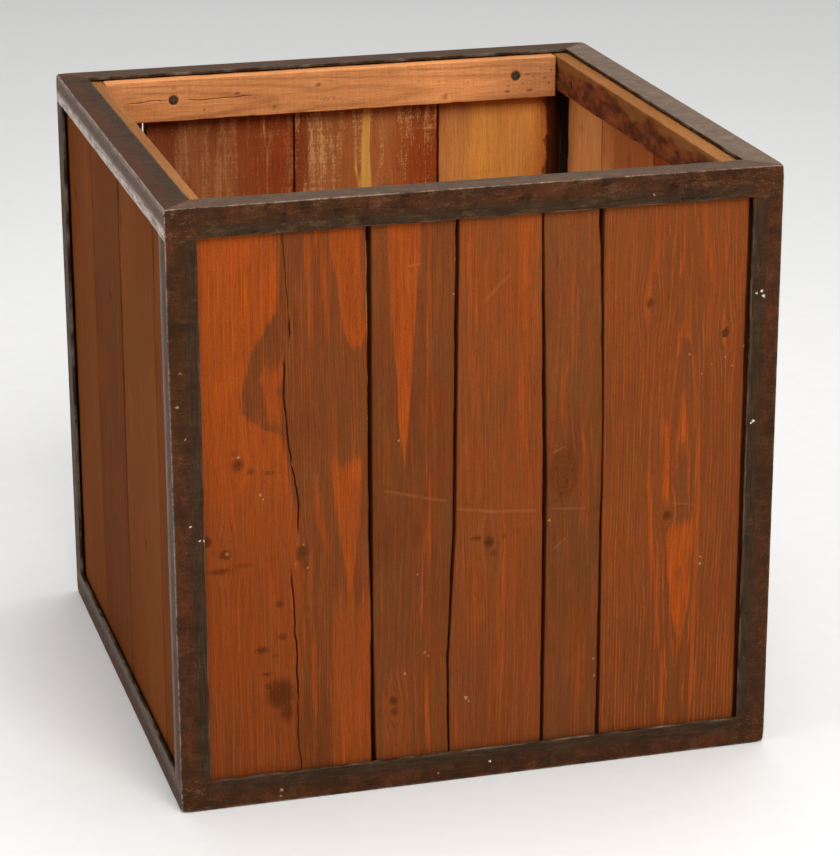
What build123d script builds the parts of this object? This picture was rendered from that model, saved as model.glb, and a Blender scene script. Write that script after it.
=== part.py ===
"""Cube-shaped planter box: a welded frame of steel angle with upright timber boards behind its legs.

Millimetres. The frame's outer faces are a cube. Everything is laid out from its front left bottom corner,
x to the right, y to the back, z up, and moved on export so that the origin is the middle of the base.
"""

from build123d import *
import os

# Driving dimensions
SIDE = 600.0  # outside of the frame, each way
LEG = 30.0  # width of an angle's leg
STEEL = 4.0  # thickness of an angle's leg
ROOT_R = 2.0  # inside corner of the angle
TOE_R = 1.2  # edges of the angle's toes
ARRIS_R = 1.5  # outside edges of the welded and ground frame

BOARD = 20.0  # thickness of the wall boards
SLOT = 2.0  # gap between the boards and the frame's legs
BOARD_TOP = SIDE - STEEL - 2.0  # top of every wall board
BOARD_FOOT = STEEL  # the boards stand on the bottom rails
BOARD_CHAMFER = 0.8  # sharp edges taken off the outer faces

BATTEN_HEIGHT = 46.0
BATTEN = 18.0  # thickness of the back top batten
SIDE_BATTEN = 19.0  # thickness of the left and right top battens
LOW_BATTEN = 20.0  # thickness of the bottom battens
BATTEN_TOP = SIDE - STEEL - 1.0
BARK_BATTEN_FOOT = 556.0  # lower edge of the right top batten, which is the narrow one with bark on it
END_GAP = 1.5  # gap at the ends of the battens between the side battens

SLATS = 5
SLAT_WIDTH = 100.0
SLAT = 18.0  # thickness of the floor slats
WALL_GAP = 1.0  # gap between the side walls or the floor and the walls they meet

HEAD_D = 9.5  # countersunk screws
SHANK_D = 4.0
SCREW_LENGTH = 32.0
POINT_LENGTH = 5.0
RECESS_WIDTH = 1.0
RECESS_SPAN = 5.0
RECESS_DEPTH = 1.2
SCREW_CLEARANCE = 0.05  # between a screw and the wood round it

# Where the walls' faces lie, measured from the outside of the frame
FACE = STEEL + SLOT
INNER = FACE + BOARD
LOW_BATTEN_TOP = STEEL + BATTEN_HEIGHT
FLOOR_TOP = LOW_BATTEN_TOP + SLAT

# Joints between boards: (height, edge of the board before it, edge of the board after it).
# The boards are sawn unevenly, so the gaps wander and open up.
FRONT_JOINTS = [
    [(0, 190.2, 196.0), (173, 192.0, 193.6), (268, 190.2, 194.1), (SIDE, 189.2, 194.6)],
    [(0, 269.4, 270.8), (124, 267.8, 269.2), (259, 273.6, 276.4), (SIDE, 277.0, 280.2)],
    [(0, 364.0, 366.8), (302, 364.2, 368.2), (SIDE, 360.0, 361.2)],
    [(0, 421.8, 425.2), (353, 423.7, 424.7), (494, 420.6, 422.6), (SIDE, 415.6, 421.9)],
]
BACK_JOINTS = [
    [(0, 88.0, 90.0), (SIDE, 88.3, 92.6)],
    [(0, 253.5, 255.0), (SIDE, 256.8, 258.2)],
    [(0, 419.4, 421.0), (SIDE, 421.4, 422.8)],
]
LEFT_JOINTS = [
    [(0, 101.0, 103.0), (400, 95.8, 97.4), (SIDE, 87.6, 89.4)],
    [(0, 280.0, 283.0), (SIDE, 270.0, 274.5)],
    [(0, 429.0, 431.0), (SIDE, 429.0, 431.0)],
]
RIGHT_JOINTS = [
    [(0, 148.5, 150.0), (SIDE, 148.5, 150.0)],
    [(0, 289.0, 290.8), (SIDE, 289.6, 291.2)],
    [(0, 455.0, 456.4), (SIDE, 455.4, 456.8)],
]
FRONT_ENDS = (8.0, 568.0)  # outer edges of the first and the last board
BACK_ENDS = (8.0, 573.0)
SIDE_ENDS = (INNER + WALL_GAP, SIDE - INNER - WALL_GAP)

# The last back board keeps its bark edge: in plan, the slope from its inner face to its outer face
BARK_EDGE = [(549.0, SIDE - INNER), (562.0, SIDE - INNER + 7.0), (572.0, SIDE - FACE)]

# Inner edges of the top battens in plan, where they aren't straight
LEFT_BATTEN_EDGE = [(43.6, INNER + WALL_GAP), (45.4, SIDE - INNER - WALL_GAP)]
RIGHT_BATTEN_EDGE = [(554.0, INNER + WALL_GAP), (555.0, SIDE - INNER - WALL_GAP)]
FRONT_BATTEN_EDGE = [(48.0, 47.8), (120.0, 44.5), (552.0, 44.5)]

BACK_SCREWS = [(120.0, 572.5), (507.0, 575.5)]  # x, z of the two screws in the back top batten
TOP_SCREW_Z = 573.0
LOW_SCREW_Z = 27.0


def plan_prism(points, low, high):
    """An upright prism over a plan outline."""
    return extrude(Pos(0, 0, low) * make_face(Polyline(*points, close=True)), amount=high - low)


def block(low, high):
    """A box between two corners."""
    return plan_prism([(low[0], low[1]), (high[0], low[1]), (high[0], high[1]), (low[0], high[1])], low[2], high[2])


# ---- Steel frame ----


def angle_profile():
    """Section of the rolled angle, heel at the origin, legs along +X and +Y."""
    outline = Polyline((0, 0), (LEG, 0), (LEG, STEEL), (STEEL, STEEL), (STEEL, LEG), (0, LEG), close=True)
    face = make_face(outline)
    root = face.vertices().sort_by_distance((STEEL, STEEL))[0]
    face = fillet(root, ROOT_R)
    toes = [v for v in face.vertices() if max(v.X, v.Y) > LEG - 0.01]
    return fillet(toes, TOE_R)


def frame_envelope():
    """The cube that the finished frame fills, with its ground edges."""
    cube = Pos(SIDE / 2, SIDE / 2, SIDE / 2) * Box(SIDE, SIDE, SIDE)
    return fillet(cube.edges(), ARRIS_R)


def angle_bar(origin, first_leg, second_leg):
    """A bar of angle SIDE long whose heel starts at origin, with its legs in the two given directions."""
    plane = Plane(origin=origin, x_dir=first_leg, z_dir=Vector(first_leg).cross(Vector(second_leg)))
    return extrude(plane * angle_profile(), amount=SIDE)


def frame_parts():
    """Four posts between two mitred rings of rails."""
    envelope = frame_envelope()
    mid = SIDE / 2
    corners = {"front_left": (0, 0), "front_right": (SIDE, 0), "back_right": (SIDE, SIDE), "back_left": (0, SIDE)}
    mitres = {
        "front": [(0, 0), (SIDE, 0), (mid, mid)],
        "right": [(SIDE, 0), (SIDE, SIDE), (mid, mid)],
        "back": [(SIDE, SIDE), (0, SIDE), (mid, mid)],
        "left": [(0, SIDE), (0, 0), (mid, mid)],
    }
    between_rings = block((0, 0, LEG), (SIDE, SIDE, SIDE - LEG))
    parts = {}
    for name, (x, y) in corners.items():
        along_x = (1 if x == 0 else -1, 0, 0)
        along_y = (0, 1 if y == 0 else -1, 0)
        # The section is extruded up or down, whichever way its two legs' cross product points.
        up = along_x[0] * along_y[1] > 0
        bar = angle_bar((x, y, 0 if up else SIDE), along_x, along_y)
        parts[f"post_{name}"] = bar & envelope & between_rings
    for side, mitre in mitres.items():
        start, end, _ = mitre
        inward = Vector(mid, mid, 0) - (Vector(*start, 0) + Vector(*end, 0)) / 2
        inward = inward.normalized()
        wedge = plan_prism(mitre, 0, SIDE)
        for ring, z, leg in (("bottom", 0, (0, 0, 1)), ("top", SIDE, (0, 0, -1))):
            run = inward.cross(Vector(leg))
            first = start if run.dot(Vector(*end, 0) - Vector(*start, 0)) > 0 else end
            bar = angle_bar((*first, z), tuple(inward), leg)
            parts[f"{ring}_rail_{side}"] = bar & envelope & wedge
    return parts


# ---- Board walls ----

# Each wall's plane looks along the wall with its height upwards: (outer face's plane, way to the inside)
WALL_PLANES = {
    "front": Plane(origin=(0, FACE, 0), x_dir=(1, 0, 0), z_dir=(0, -1, 0)),
    "back": Plane(origin=(0, SIDE - FACE, 0), x_dir=(1, 0, 0), z_dir=(0, -1, 0)),
    "left": Plane(origin=(FACE, 0, 0), x_dir=(0, 1, 0), z_dir=(1, 0, 0)),
    "right": Plane(origin=(SIDE - FACE, 0, 0), x_dir=(0, 1, 0), z_dir=(1, 0, 0)),
}
WALL_INWARD = {"front": -BOARD, "back": BOARD, "left": BOARD, "right": -BOARD}


def edge_at(stations, height):
    """Where a board's edge, given as (height, place) stations, is at a height."""
    for (z0, a0), (z1, a1) in zip(stations, stations[1:]):
        if z0 <= height <= z1:
            return a0 + (a1 - a0) * (height - z0) / (z1 - z0)
    raise ValueError(height)


def clipped(stations):
    """The stations between the boards' feet and tops, with an end at each."""
    middle = [s for s in stations if BOARD_FOOT < s[0] < BOARD_TOP]
    ends = [(z, edge_at(stations, z)) for z in (BOARD_FOOT, BOARD_TOP)]
    return [ends[0], *middle, ends[1]]


def wall_boards(wall, joints, ends):
    """The boards of one wall, from low to high x or y."""
    first, last = ([(0, place), (SIDE, place)] for place in ends)
    lefts = [first] + [[(z, after) for z, _, after in joint] for joint in joints]
    rights = [[(z, before) for z, before, _ in joint] for joint in joints] + [last]
    boards = {}
    for number, (left, right) in enumerate(zip(lefts, rights), 1):
        up = [(place, z) for z, place in clipped(left)]
        down = [(place, z) for z, place in reversed(clipped(right))]
        face = WALL_PLANES[wall] * make_face(Polyline(*up, *down, close=True))
        board = extrude(face, amount=WALL_INWARD[wall])
        outer = board.faces().sort_by_distance(face.center())[0]
        boards[f"{wall}_board_{number}"] = chamfer(outer.edges(), BOARD_CHAMFER)
    return boards


def all_walls():
    boards = {
        **wall_boards("front", FRONT_JOINTS, FRONT_ENDS),
        **wall_boards("back", BACK_JOINTS, BACK_ENDS),
        **wall_boards("left", LEFT_JOINTS, SIDE_ENDS),
        **wall_boards("right", RIGHT_JOINTS, SIDE_ENDS),
    }
    beyond = [(SIDE - INNER, SIDE - FACE), (SIDE - INNER, SIDE - INNER)]
    boards["back_board_4"] -= plan_prism([*BARK_EDGE, *beyond], 0, SIDE)
    return boards


# ---- Battens and floor ----


def top_battens():
    near, far = INNER + WALL_GAP, SIDE - INNER - WALL_GAP
    foot = BATTEN_TOP - BATTEN_HEIGHT
    left = [(INNER, near), *LEFT_BATTEN_EDGE, (INNER, far)]
    right = [(SIDE - INNER, near), *RIGHT_BATTEN_EDGE, (SIDE - INNER, far)]
    front = [(48.0, INNER), *FRONT_BATTEN_EDGE, (552.0, INNER)]
    back_span = (INNER + SIDE_BATTEN + END_GAP, SIDE - INNER - SIDE_BATTEN - END_GAP)
    back_low = (back_span[0], SIDE - INNER - BATTEN, foot)
    return {
        "top_batten_left": plan_prism(left, foot, BATTEN_TOP),
        "top_batten_right": plan_prism(right, BARK_BATTEN_FOOT, BATTEN_TOP),
        "top_batten_front": plan_prism(front, foot, BATTEN_TOP),
        "top_batten_back": block(back_low, (back_span[1], SIDE - INNER, BATTEN_TOP)),
    }


def bottom_battens():
    near, far = INNER + WALL_GAP, SIDE - INNER - WALL_GAP
    span = (INNER + LOW_BATTEN + END_GAP, SIDE - INNER - LOW_BATTEN - END_GAP)
    low, high = STEEL, LOW_BATTEN_TOP
    return {
        "bottom_batten_left": block((INNER, near, low), (INNER + LOW_BATTEN, far, high)),
        "bottom_batten_right": block((SIDE - INNER - LOW_BATTEN, near, low), (SIDE - INNER, far, high)),
        "bottom_batten_front": block((span[0], INNER, low), (span[1], INNER + LOW_BATTEN, high)),
        "bottom_batten_back": block((span[0], SIDE - INNER - LOW_BATTEN, low), (span[1], SIDE - INNER, high)),
    }


def slat_starts():
    """The left edge of each floor slat: the first and the last lie against the side walls."""
    start = INNER + WALL_GAP
    pitch = (SIDE - 2 * start - SLAT_WIDTH) / (SLATS - 1)
    return [start + pitch * i for i in range(SLATS)]


def floor_slats():
    near, far = INNER + WALL_GAP, SIDE - INNER - WALL_GAP
    return {
        f"floor_slat_{i}": block((x, near, LOW_BATTEN_TOP), (x + SLAT_WIDTH, far, FLOOR_TOP))
        for i, x in enumerate(slat_starts(), 1)
    }


# ---- Screws ----


def screw_blank(grow=0.0):
    """A countersunk screw's outer shape, head up with its top at z = 0, made bigger all over by grow."""
    head, shank = HEAD_D / 2 + grow, SHANK_D / 2 + grow
    cone = HEAD_D / 2 - SHANK_D / 2
    length = SCREW_LENGTH + grow
    profile = [
        (0, 0),
        (head, 0),
        (shank, -cone),
        (shank, -length + POINT_LENGTH),
        (0, -length),
    ]
    return revolve(Plane.XZ * make_face(Polyline(*profile, close=True)), Axis.Z)


def screw():
    """The screw with its cross recess."""
    arm = Pos(0, 0, -RECESS_DEPTH / 2) * Box(RECESS_SPAN, RECESS_WIDTH, RECESS_DEPTH)
    return screw_blank() - arm - Rot(0, 0, 90) * arm


def screw_places():
    """Each group's screws, as the head's centre and the way the head faces."""
    front_face = FRONT_BATTEN_EDGE[-1][1]
    back_face = SIDE - INNER - BATTEN
    to_back, to_front, to_right, to_left, up = (0, 1, 0), (0, -1, 0), (1, 0, 0), (-1, 0, 0), (0, 0, 1)
    along = (90.0, SIDE - 90.0)
    left_x = [LEFT_BATTEN_EDGE[0][0] + 0.2, LEFT_BATTEN_EDGE[1][0] - 0.2]
    right_x = [RIGHT_BATTEN_EDGE[0][0] + 0.1, RIGHT_BATTEN_EDGE[1][0] - 0.1]
    top = [((x, back_face, z), to_front) for x, z in BACK_SCREWS]
    top += [((x, front_face, TOP_SCREW_Z), to_back) for x in (130.0, SIDE - 120.0)]
    top += [((x, y, TOP_SCREW_Z), to_right) for x, y in zip(left_x, along)]
    top += [((x, y, TOP_SCREW_Z), to_left) for x, y in zip(right_x, along)]
    low = []
    near_face, far_face = INNER + LOW_BATTEN, SIDE - INNER - LOW_BATTEN
    for place in (130.0, SIDE / 2 + 20.0, SIDE - 110.0):
        low.append(((place, near_face, LOW_SCREW_Z), to_back))
        low.append(((place, far_face, LOW_SCREW_Z), to_front))
        low.append(((near_face, place, LOW_SCREW_Z), to_right))
        low.append(((far_face, place, LOW_SCREW_Z), to_left))
    batten_middle = INNER + LOW_BATTEN / 2
    floor = [
        ((x + across, y, FLOOR_TOP), up)
        for x in slat_starts()
        for across in (30.0, SLAT_WIDTH - 30.0)
        for y in (batten_middle, SIDE - batten_middle)
    ]
    return {"top_batten_screws": top, "bottom_batten_screws": low, "floor_screws": floor}


def placed(shape, head, facing):
    """A screw shape with its head's centre and its axis where they belong."""
    return Plane(origin=head, z_dir=facing).location * shape


def drilled(wood, places):
    """The wooden parts with a fitting hole wherever a screw passes through them."""
    hole = screw_blank(SCREW_CLEARANCE)
    for head, facing in places:
        cutter = placed(hole, head, facing)
        reach = cutter.bounding_box()
        for name, part in wood.items():
            box = part.bounding_box()
            if all(a <= b for a, b in zip(box.min, reach.max)) and all(a <= b for a, b in zip(reach.min, box.max)):
                wood[name] = part - cutter
    return wood


def planter():
    groups = screw_places()
    wood = {**all_walls(), **top_battens(), **bottom_battens(), **floor_slats()}
    wood = drilled(wood, [place for group in groups.values() for place in group])
    blank = screw()
    screws = {name: Compound([placed(blank, *place) for place in group]) for name, group in groups.items()}
    return {**frame_parts(), **wood, **screws}


os.makedirs("parts", exist_ok=True)
for node, shape in planter().items():
    export_step(Pos(-SIDE / 2, -SIDE / 2, 0) * shape, f"parts/{node}.step")
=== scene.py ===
"""Looks of a cube planter box: a welded frame of steel angle round walls of upright stained boards.

Places are in millimetres from the front left bottom corner of the CAD box, x to the right, y to the back
and z up, and to_row() turns them into metres in the row frame.
"""

import itertools
import math
from types import SimpleNamespace

import bmesh
import bpy
import numpy as np
from mathutils import Matrix, Vector
from mathutils.bvhtree import BVHTree


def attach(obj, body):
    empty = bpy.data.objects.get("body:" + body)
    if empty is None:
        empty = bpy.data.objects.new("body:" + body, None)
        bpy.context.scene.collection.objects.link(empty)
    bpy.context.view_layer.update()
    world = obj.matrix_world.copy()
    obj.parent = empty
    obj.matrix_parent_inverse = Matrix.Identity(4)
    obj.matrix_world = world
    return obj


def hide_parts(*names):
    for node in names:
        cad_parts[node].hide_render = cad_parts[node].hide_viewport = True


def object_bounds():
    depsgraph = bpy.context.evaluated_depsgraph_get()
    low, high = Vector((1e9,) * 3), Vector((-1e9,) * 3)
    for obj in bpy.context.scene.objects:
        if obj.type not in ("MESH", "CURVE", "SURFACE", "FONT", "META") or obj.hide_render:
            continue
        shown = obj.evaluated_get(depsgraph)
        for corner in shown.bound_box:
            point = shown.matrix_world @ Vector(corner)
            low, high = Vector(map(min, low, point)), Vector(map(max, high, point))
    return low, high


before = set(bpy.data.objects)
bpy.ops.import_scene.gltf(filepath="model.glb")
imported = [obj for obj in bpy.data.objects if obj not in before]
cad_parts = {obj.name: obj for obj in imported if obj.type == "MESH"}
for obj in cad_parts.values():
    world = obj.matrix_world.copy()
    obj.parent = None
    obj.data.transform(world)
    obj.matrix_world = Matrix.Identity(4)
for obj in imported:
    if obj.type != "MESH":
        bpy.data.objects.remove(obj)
cad_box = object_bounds()

MM = 0.001
X, Y, Z = 0, 1, 2
CORNER = np.array(cad_box[0])
SIDE = float(cad_box[1][X] - cad_box[0][X]) / MM
LEG = 30.0  # width of an angle's leg
STEEL = 4.0  # thickness of an angle's leg


def to_row(points):
    """Millimetres from the box's corner to metres in the row frame."""
    return np.asarray(points) * MM + CORNER


def smooth(low, high, value):
    """0 below low, 1 above high, and an S-curve between."""
    t = np.clip((value - low) / (high - low), 0, 1)
    return t * t * (3 - 2 * t)


def linear(colour):
    """A display colour, red, green and blue from 0 to 255, as linear light."""
    c = np.asarray(colour, float) / 255
    return np.where(c <= 0.04045, c / 12.92, ((c + 0.055) / 1.055) ** 2.4)


def rgba(colour):
    return (*(float(c) for c in linear(colour)), 1.0)


class Noise:
    """Smooth random values from -1 to 1 over a line, a plane or space, always the same for one seed."""

    PRIMES = (73856093, 19349663, 83492791)
    CELLS = 4096

    def __init__(self, seed):
        self.values = np.random.default_rng(seed).uniform(-1, 1, self.CELLS)

    def __call__(self, *places):
        place = np.stack(np.broadcast_arrays(*places), -1).astype(float)
        cell = np.floor(place).astype(np.int64)
        part = place - cell
        part = part * part * (3 - 2 * part)
        total = np.zeros(place.shape[:-1])
        for corner in itertools.product((0, 1), repeat=place.shape[-1]):
            key = np.zeros(place.shape[:-1], np.int64)
            weight = np.ones(place.shape[:-1])
            for i, step in enumerate(corner):
                key ^= (cell[..., i] + step) * self.PRIMES[i]
                weight *= part[..., i] if step else 1 - part[..., i]
            total += self.values[key % self.CELLS] * weight
        return total

    def rough(self, *places, octaves=3):
        """The same with finer and finer detail added."""
        total, size = 0.0, 1.0
        for octave in range(octaves):
            total = total + size * self(*(np.asarray(p) * 2**octave + 17.3 * octave for p in places))
            size *= 0.5
        return total / 1.5


def place_object(name, data):
    """A new object in the scene, at the origin."""
    placed = bpy.data.objects.new(name, data)
    bpy.context.scene.collection.objects.link(placed)
    return placed


# ---- CAD solids and meshes ----


class Solid:
    """A CAD node's mesh in millimetres, for finding where its surfaces are."""

    OUTSIDE = 50.0

    def __init__(self, node):
        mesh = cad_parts[node].data
        points = np.zeros(len(mesh.vertices) * 3)
        mesh.vertices.foreach_get("co", points)
        points = (points.reshape(-1, 3) - CORNER) / MM
        self.low, self.high = points.min(0), points.max(0)
        faces = [tuple(p.vertices) for p in mesh.polygons]
        self.tree = BVHTree.FromPolygons([Vector(p) for p in points], faces)

    def reach(self, axis, way, place):
        """How far the solid reaches along an axis, forwards or backwards, on the line through a place.

        It is nan where the line misses the solid, as it does through a screw hole.
        """
        start, look = Vector(place), Vector((0, 0, 0))
        start[axis] = self.high[axis] + self.OUTSIDE if way > 0 else self.low[axis] - self.OUTSIDE
        look[axis] = -way
        hit = self.tree.ray_cast(start, look)[0]
        return math.nan if hit is None else hit[axis]


def make_mesh(name, points, attributes, sharp=35.0):
    """A smooth-shaded object from closed rings of points in millimetres, with named values at its points."""
    mesh = bpy.data.meshes.new(name)
    mesh.from_pydata(to_row(points).reshape(-1, 3).tolist(), [], skin_faces(*points.shape[:2]))
    for key, values in attributes.items():
        values = values.astype(np.float32)
        kind, field = ("FLOAT", "value") if values.ndim == 2 else ("FLOAT_VECTOR", "vector")
        mesh.attributes.new(key, kind, "POINT").data.foreach_set(field, values.ravel())
    work = bmesh.new()
    work.from_mesh(mesh)
    bmesh.ops.recalc_face_normals(work, faces=work.faces)
    work.to_mesh(mesh)
    work.free()
    mesh.shade_smooth()
    mesh.set_sharp_from_angle(angle=math.radians(sharp))
    return place_object(name, mesh)


def skin_faces(rings, around):
    """Quads between closed rings of points, and a face on each end."""
    ring, k = np.meshgrid(np.arange(rings - 1), np.arange(around), indexing="ij")
    here, ahead = ring * around + k, ring * around + (k + 1) % around
    quads = np.stack([here, ahead, ahead + around, here + around], -1)
    ends = [list(range(around))[::-1], [(rings - 1) * around + i for i in range(around)]]
    return quads.reshape(-1, 4).tolist() + ends


FINE_STEP, LEAST_GAP = 0.8, 0.2  # spacing of the fine stretches' places, and the least gap beside them


def spaced(low, high, step, fine=()):
    """Places from low to high about a step apart, and closer within the fine stretches."""
    places = np.linspace(low, high, max(2, round((high - low) / step) + 1))
    for centre, half in fine:
        start, end = max(low, centre - half), min(high, centre + half)
        if end > start:
            close = np.linspace(start, end, math.ceil((end - start) / FINE_STEP) + 1)
            outside = (places < start - LEAST_GAP) | (places > end + LEAST_GAP)
            places = np.concatenate([places[outside], close])
    return np.sort(places)


# ---- Timber ----

ARRIS = 1.3  # rounding of a plank's long edges
END_ROUNDING = [(0.0, 0.9), (0.35, 0.3), (1.0, 0.0)]  # distance from a plank's end, and how far it draws in
SCREW_DISH = (5.0, 7.0, 0.7)  # inner and outer radius of the dish round a screw head, and its depth
FINE_REACH = 9.0  # how far round a screw the mesh is finer
END_GAP, EDGE_GAP = 2.2, 6.0  # from a plank's ends and edges to its evenly spaced points
EDGE_STEPS = (ARRIS, 2.3, 4.0)  # where the points nearest to a face's edges lie
CRACK_STEPS = (0.35, 0.8, 1.4, 2.2, 3.2, 4.5)  # points on each side of a crack
SAMPLES, END_MARGIN = 121, 1.2  # how often a CAD solid is measured, and how far from its ends
PROBES = (-0.7, -0.4, 0.05, 0.5)  # where its faces are probed, as shares of half its width
TURN_STEPS = np.radians([22.5, 45, 67.5])  # where the points of a rounded corner lie, between its ends
BOARD = 20.0  # thickness of a board


class Plank:
    """The skin of a sawn timber, laid over its CAD solid and only ever cut back from it.

    Its points stand in rings round the section, one ring at each place along its length. along, across and
    depth are their places in millimetres: across runs from its low edge, and depth is measured from the main face.
    """

    def __init__(self, node, length, width, face, step, crack, screws=(), levels=(0.5,)):
        self.node, self.solid = node, Solid(node)
        self.length, self.width = length, width
        self.thick, self.way = face
        self.crack, self.screws, self.levels = crack, screws, levels
        low, high = self.solid.low[length], self.solid.high[length]
        middle = spaced(low + END_GAP, high - END_GAP, step[0], [(s[0], FINE_REACH) for s in screws])
        rounded = [inset for inset, _ in END_ROUNDING]
        self.stations = np.concatenate([low + np.array(rounded), middle, high - np.array(rounded[::-1])])
        self._measure()
        self._ring(step[1])
        self._points()

    def _place(self, along, across, thick):
        place = [0.0, 0.0, 0.0]
        place[self.length], place[self.width], place[self.thick] = along, across, thick
        return place

    def _measure(self):
        """The edges and faces of the CAD solid, along its length."""
        solid, way = self.solid, self.way
        samples = np.linspace(self.stations[0] + END_MARGIN, self.stations[-1] - END_MARGIN, SAMPLES)
        near, far = solid.low[self.thick], solid.high[self.thick]
        back, front = (near, far) if way > 0 else (far, near)
        low, high = solid.low[self.width], solid.high[self.width]
        mid, half = (low + high) / 2, (high - low) / 2
        edges = np.zeros((2, len(self.levels), len(samples)))
        faces = np.zeros((2, len(samples)))
        for i, along in enumerate(samples):
            for j, level in enumerate(self.levels):
                place = self._place(along, mid, back + (front - back) * level)
                edges[:, j, i] = [solid.reach(self.width, side, place) for side in (-1, 1)]
            probes = [self._place(along, mid + half * share, 0) for share in PROBES]
            faces[0, i] = way * np.nanmax([way * solid.reach(self.thick, way, p) for p in probes])
            faces[1, i] = way * np.nanmin([way * solid.reach(self.thick, -way, p) for p in probes])
        self.samples, self.edges, self.faces = samples, edges, faces

    def _shares(self, step):
        """Points across the main face, as a share of the width and an offset, and the shares of a plain face."""
        first, wide = np.mean(self.edges[0]), float(np.mean(self.edges[1] - self.edges[0]))
        fine = [(s[1] - first, FINE_REACH) for s in self.screws]
        shares = [(w / wide, 0.0) for w in spaced(EDGE_GAP, wide - EDGE_GAP, step, fine)]
        face, self.middle_share = shares, 0.5
        if self.crack is not None:
            middle = self.middle_share = (np.mean([w for _, w in self.crack]) - first) / wide
            beside = [(middle, side * d) for side in (-1, 1) for d in CRACK_STEPS]
            face = [s for s in shares if abs(s[0] - middle) * wide > EDGE_GAP] + beside + [(middle, 0.0)]
            face = sorted(face, key=lambda s: s[0] * wide + s[1])
        return [(0.0, d) for d in EDGE_STEPS] + face + [(1.0, -d) for d in reversed(EDGE_STEPS)], shares

    def _ring(self, step):
        """The section's points: share across with an offset, share from back to face with an offset, and a normal."""
        face, shares = self._shares(step)
        deep = float(abs(np.mean(self.faces[0] - self.faces[1])))
        last = EDGE_STEPS[-1]
        coarse = [(0.0, ARRIS), (0.0, last)] + shares[:: 1 if self.screws else 2] + [(1.0, -last), (1.0, -ARRIS)]
        levels = spaced(last, deep - last, last)[::-1] / deep
        side = [(1.0, -ARRIS)] + [(t, 0.0) for t in levels] + [(0.0, ARRIS)]
        turn = [(1 - math.cos(a), 1 - math.sin(a)) for a in TURN_STEPS]
        ring = [(a, d, 1.0, 0.0, 0.0, 1.0) for a, d in face]
        ring += [(1.0, -ARRIS * s, 1.0, -ARRIS * c, 1 - s, 1 - c) for c, s in turn]
        ring += [(1.0, 0.0, t, d, 1.0, 0.0) for t, d in side]
        ring += [(1.0, -ARRIS * c, 0.0, ARRIS * s, 1 - c, s - 1) for c, s in turn]
        ring += [(a, d, 0.0, 0.0, 0.0, -1.0) for a, d in reversed(coarse)]
        ring += [(0.0, ARRIS * s, 0.0, ARRIS * c, s - 1, c - 1) for c, s in turn]
        ring += [(0.0, 0.0, t, d, -1.0, 0.0) for t, d in reversed(side)]
        ring += [(0.0, ARRIS * c, 1.0, -ARRIS * s, c - 1, 1 - s) for c, s in turn]
        self.ring = np.array(ring)

    def _points(self):
        share, offset, level, sunk, across_normal, face_normal = self.ring.T
        edge = np.zeros((2, len(self.stations), len(share)))
        for side in (0, 1):
            for k, t in enumerate(level):
                line = [np.interp(t, self.levels, column) for column in self.edges[side].T]
                edge[side, :, k] = np.interp(self.stations, self.samples, line)
        low, high = edge
        middle = low + (high - low) * self.middle_share
        if self.crack is not None:
            places, line = zip(*sorted(self.crack))
            middle = np.interp(self.stations, places, line)[:, None] + 0 * low
        before = share <= self.middle_share
        inner = share / self.middle_share
        outer = (share - self.middle_share) / (1 - self.middle_share)
        across = np.where(before, low + (middle - low) * inner, middle + (high - middle) * outer) + offset
        front, back = (np.interp(self.stations, self.samples, f)[:, None] for f in self.faces)
        thick = back + (front - back) * level + self.way * sunk
        self.along = self.stations[:, None] + 0 * across
        self.across, self.thickness_place = across, thick
        self.depth = self.way * (front - thick)
        self.edge_gap = np.minimum(across - low, high - across)
        self.normals = across_normal + 0 * across, face_normal + 0 * across
        self.on_face = self.normals[1] > 0.7
        self.on_back = self.normals[1] < -0.7

    def _draw_in(self):
        """How far the rings near the two ends draw in, so that the end edges are rounded."""
        gap = np.minimum(self.stations - self.stations[0], self.stations[-1] - self.stations)
        insets, amounts = zip(*END_ROUNDING)
        return np.interp(gap, insets, amounts)[:, None]

    def screw_dishes(self):
        """Depth of the dishes pressed round the screw heads."""
        inner, outer, deep = SCREW_DISH
        dish = np.zeros_like(self.along)
        for along, across in self.screws:
            away = np.hypot(self.along - along, self.across - across)
            dish = np.maximum(dish, deep * (1 - smooth(inner, outer, away)))
        return dish * self.on_face

    def build(self, relief, attributes, suffix):
        """The finished piece, cut back by relief and carrying the named values."""
        cut = relief + self._draw_in()
        across = self.across - self.normals[0] * cut
        thick = self.thickness_place - self.way * self.normals[1] * cut
        points = np.zeros((*across.shape, 3))
        points[..., self.length], points[..., self.width], points[..., self.thick] = self.along, across, thick
        return make_mesh(f"{self.node}_{suffix}", points, attributes)


class Figure:
    """The figure of one timber: where its pith runs, its ring spacing, knots, bare streaks and dark marks.

    pith is (place along, place across, depth below the face) at two or more places. knots are (across, along,
    radius, reach). bare streaks are (strength, outline of (along, low edge, high edge)), where the strength
    may be a list of (along, strength). marks are dark, ragged ellipses (across, along, half width, half height,
    strength). inner, splits and flecks are the colours, bright splits and pale flecks of the inside face.
    """

    def __init__(self, pith, spacing, lines, knots, bare, marks, colours):
        self.pith, self.spacing, self.lines = pith, spacing, lines
        self.knots, self.bare, self.marks, self.colours = knots, bare, marks, colours
        self.inner, self.splits, self.flecks = (), (), 0.0


FAR_OUTSIDE = -30.0  # distance given to points far outside every streak
CRISPNESS = 2.2  # how much faster the barest streaks' edges turn
BAREST = (0.62, 0.84)  # strengths from none to all of that crispness
END_TAPER = 6.0  # how much more slowly a streak fades at its ends than at its sides


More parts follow.
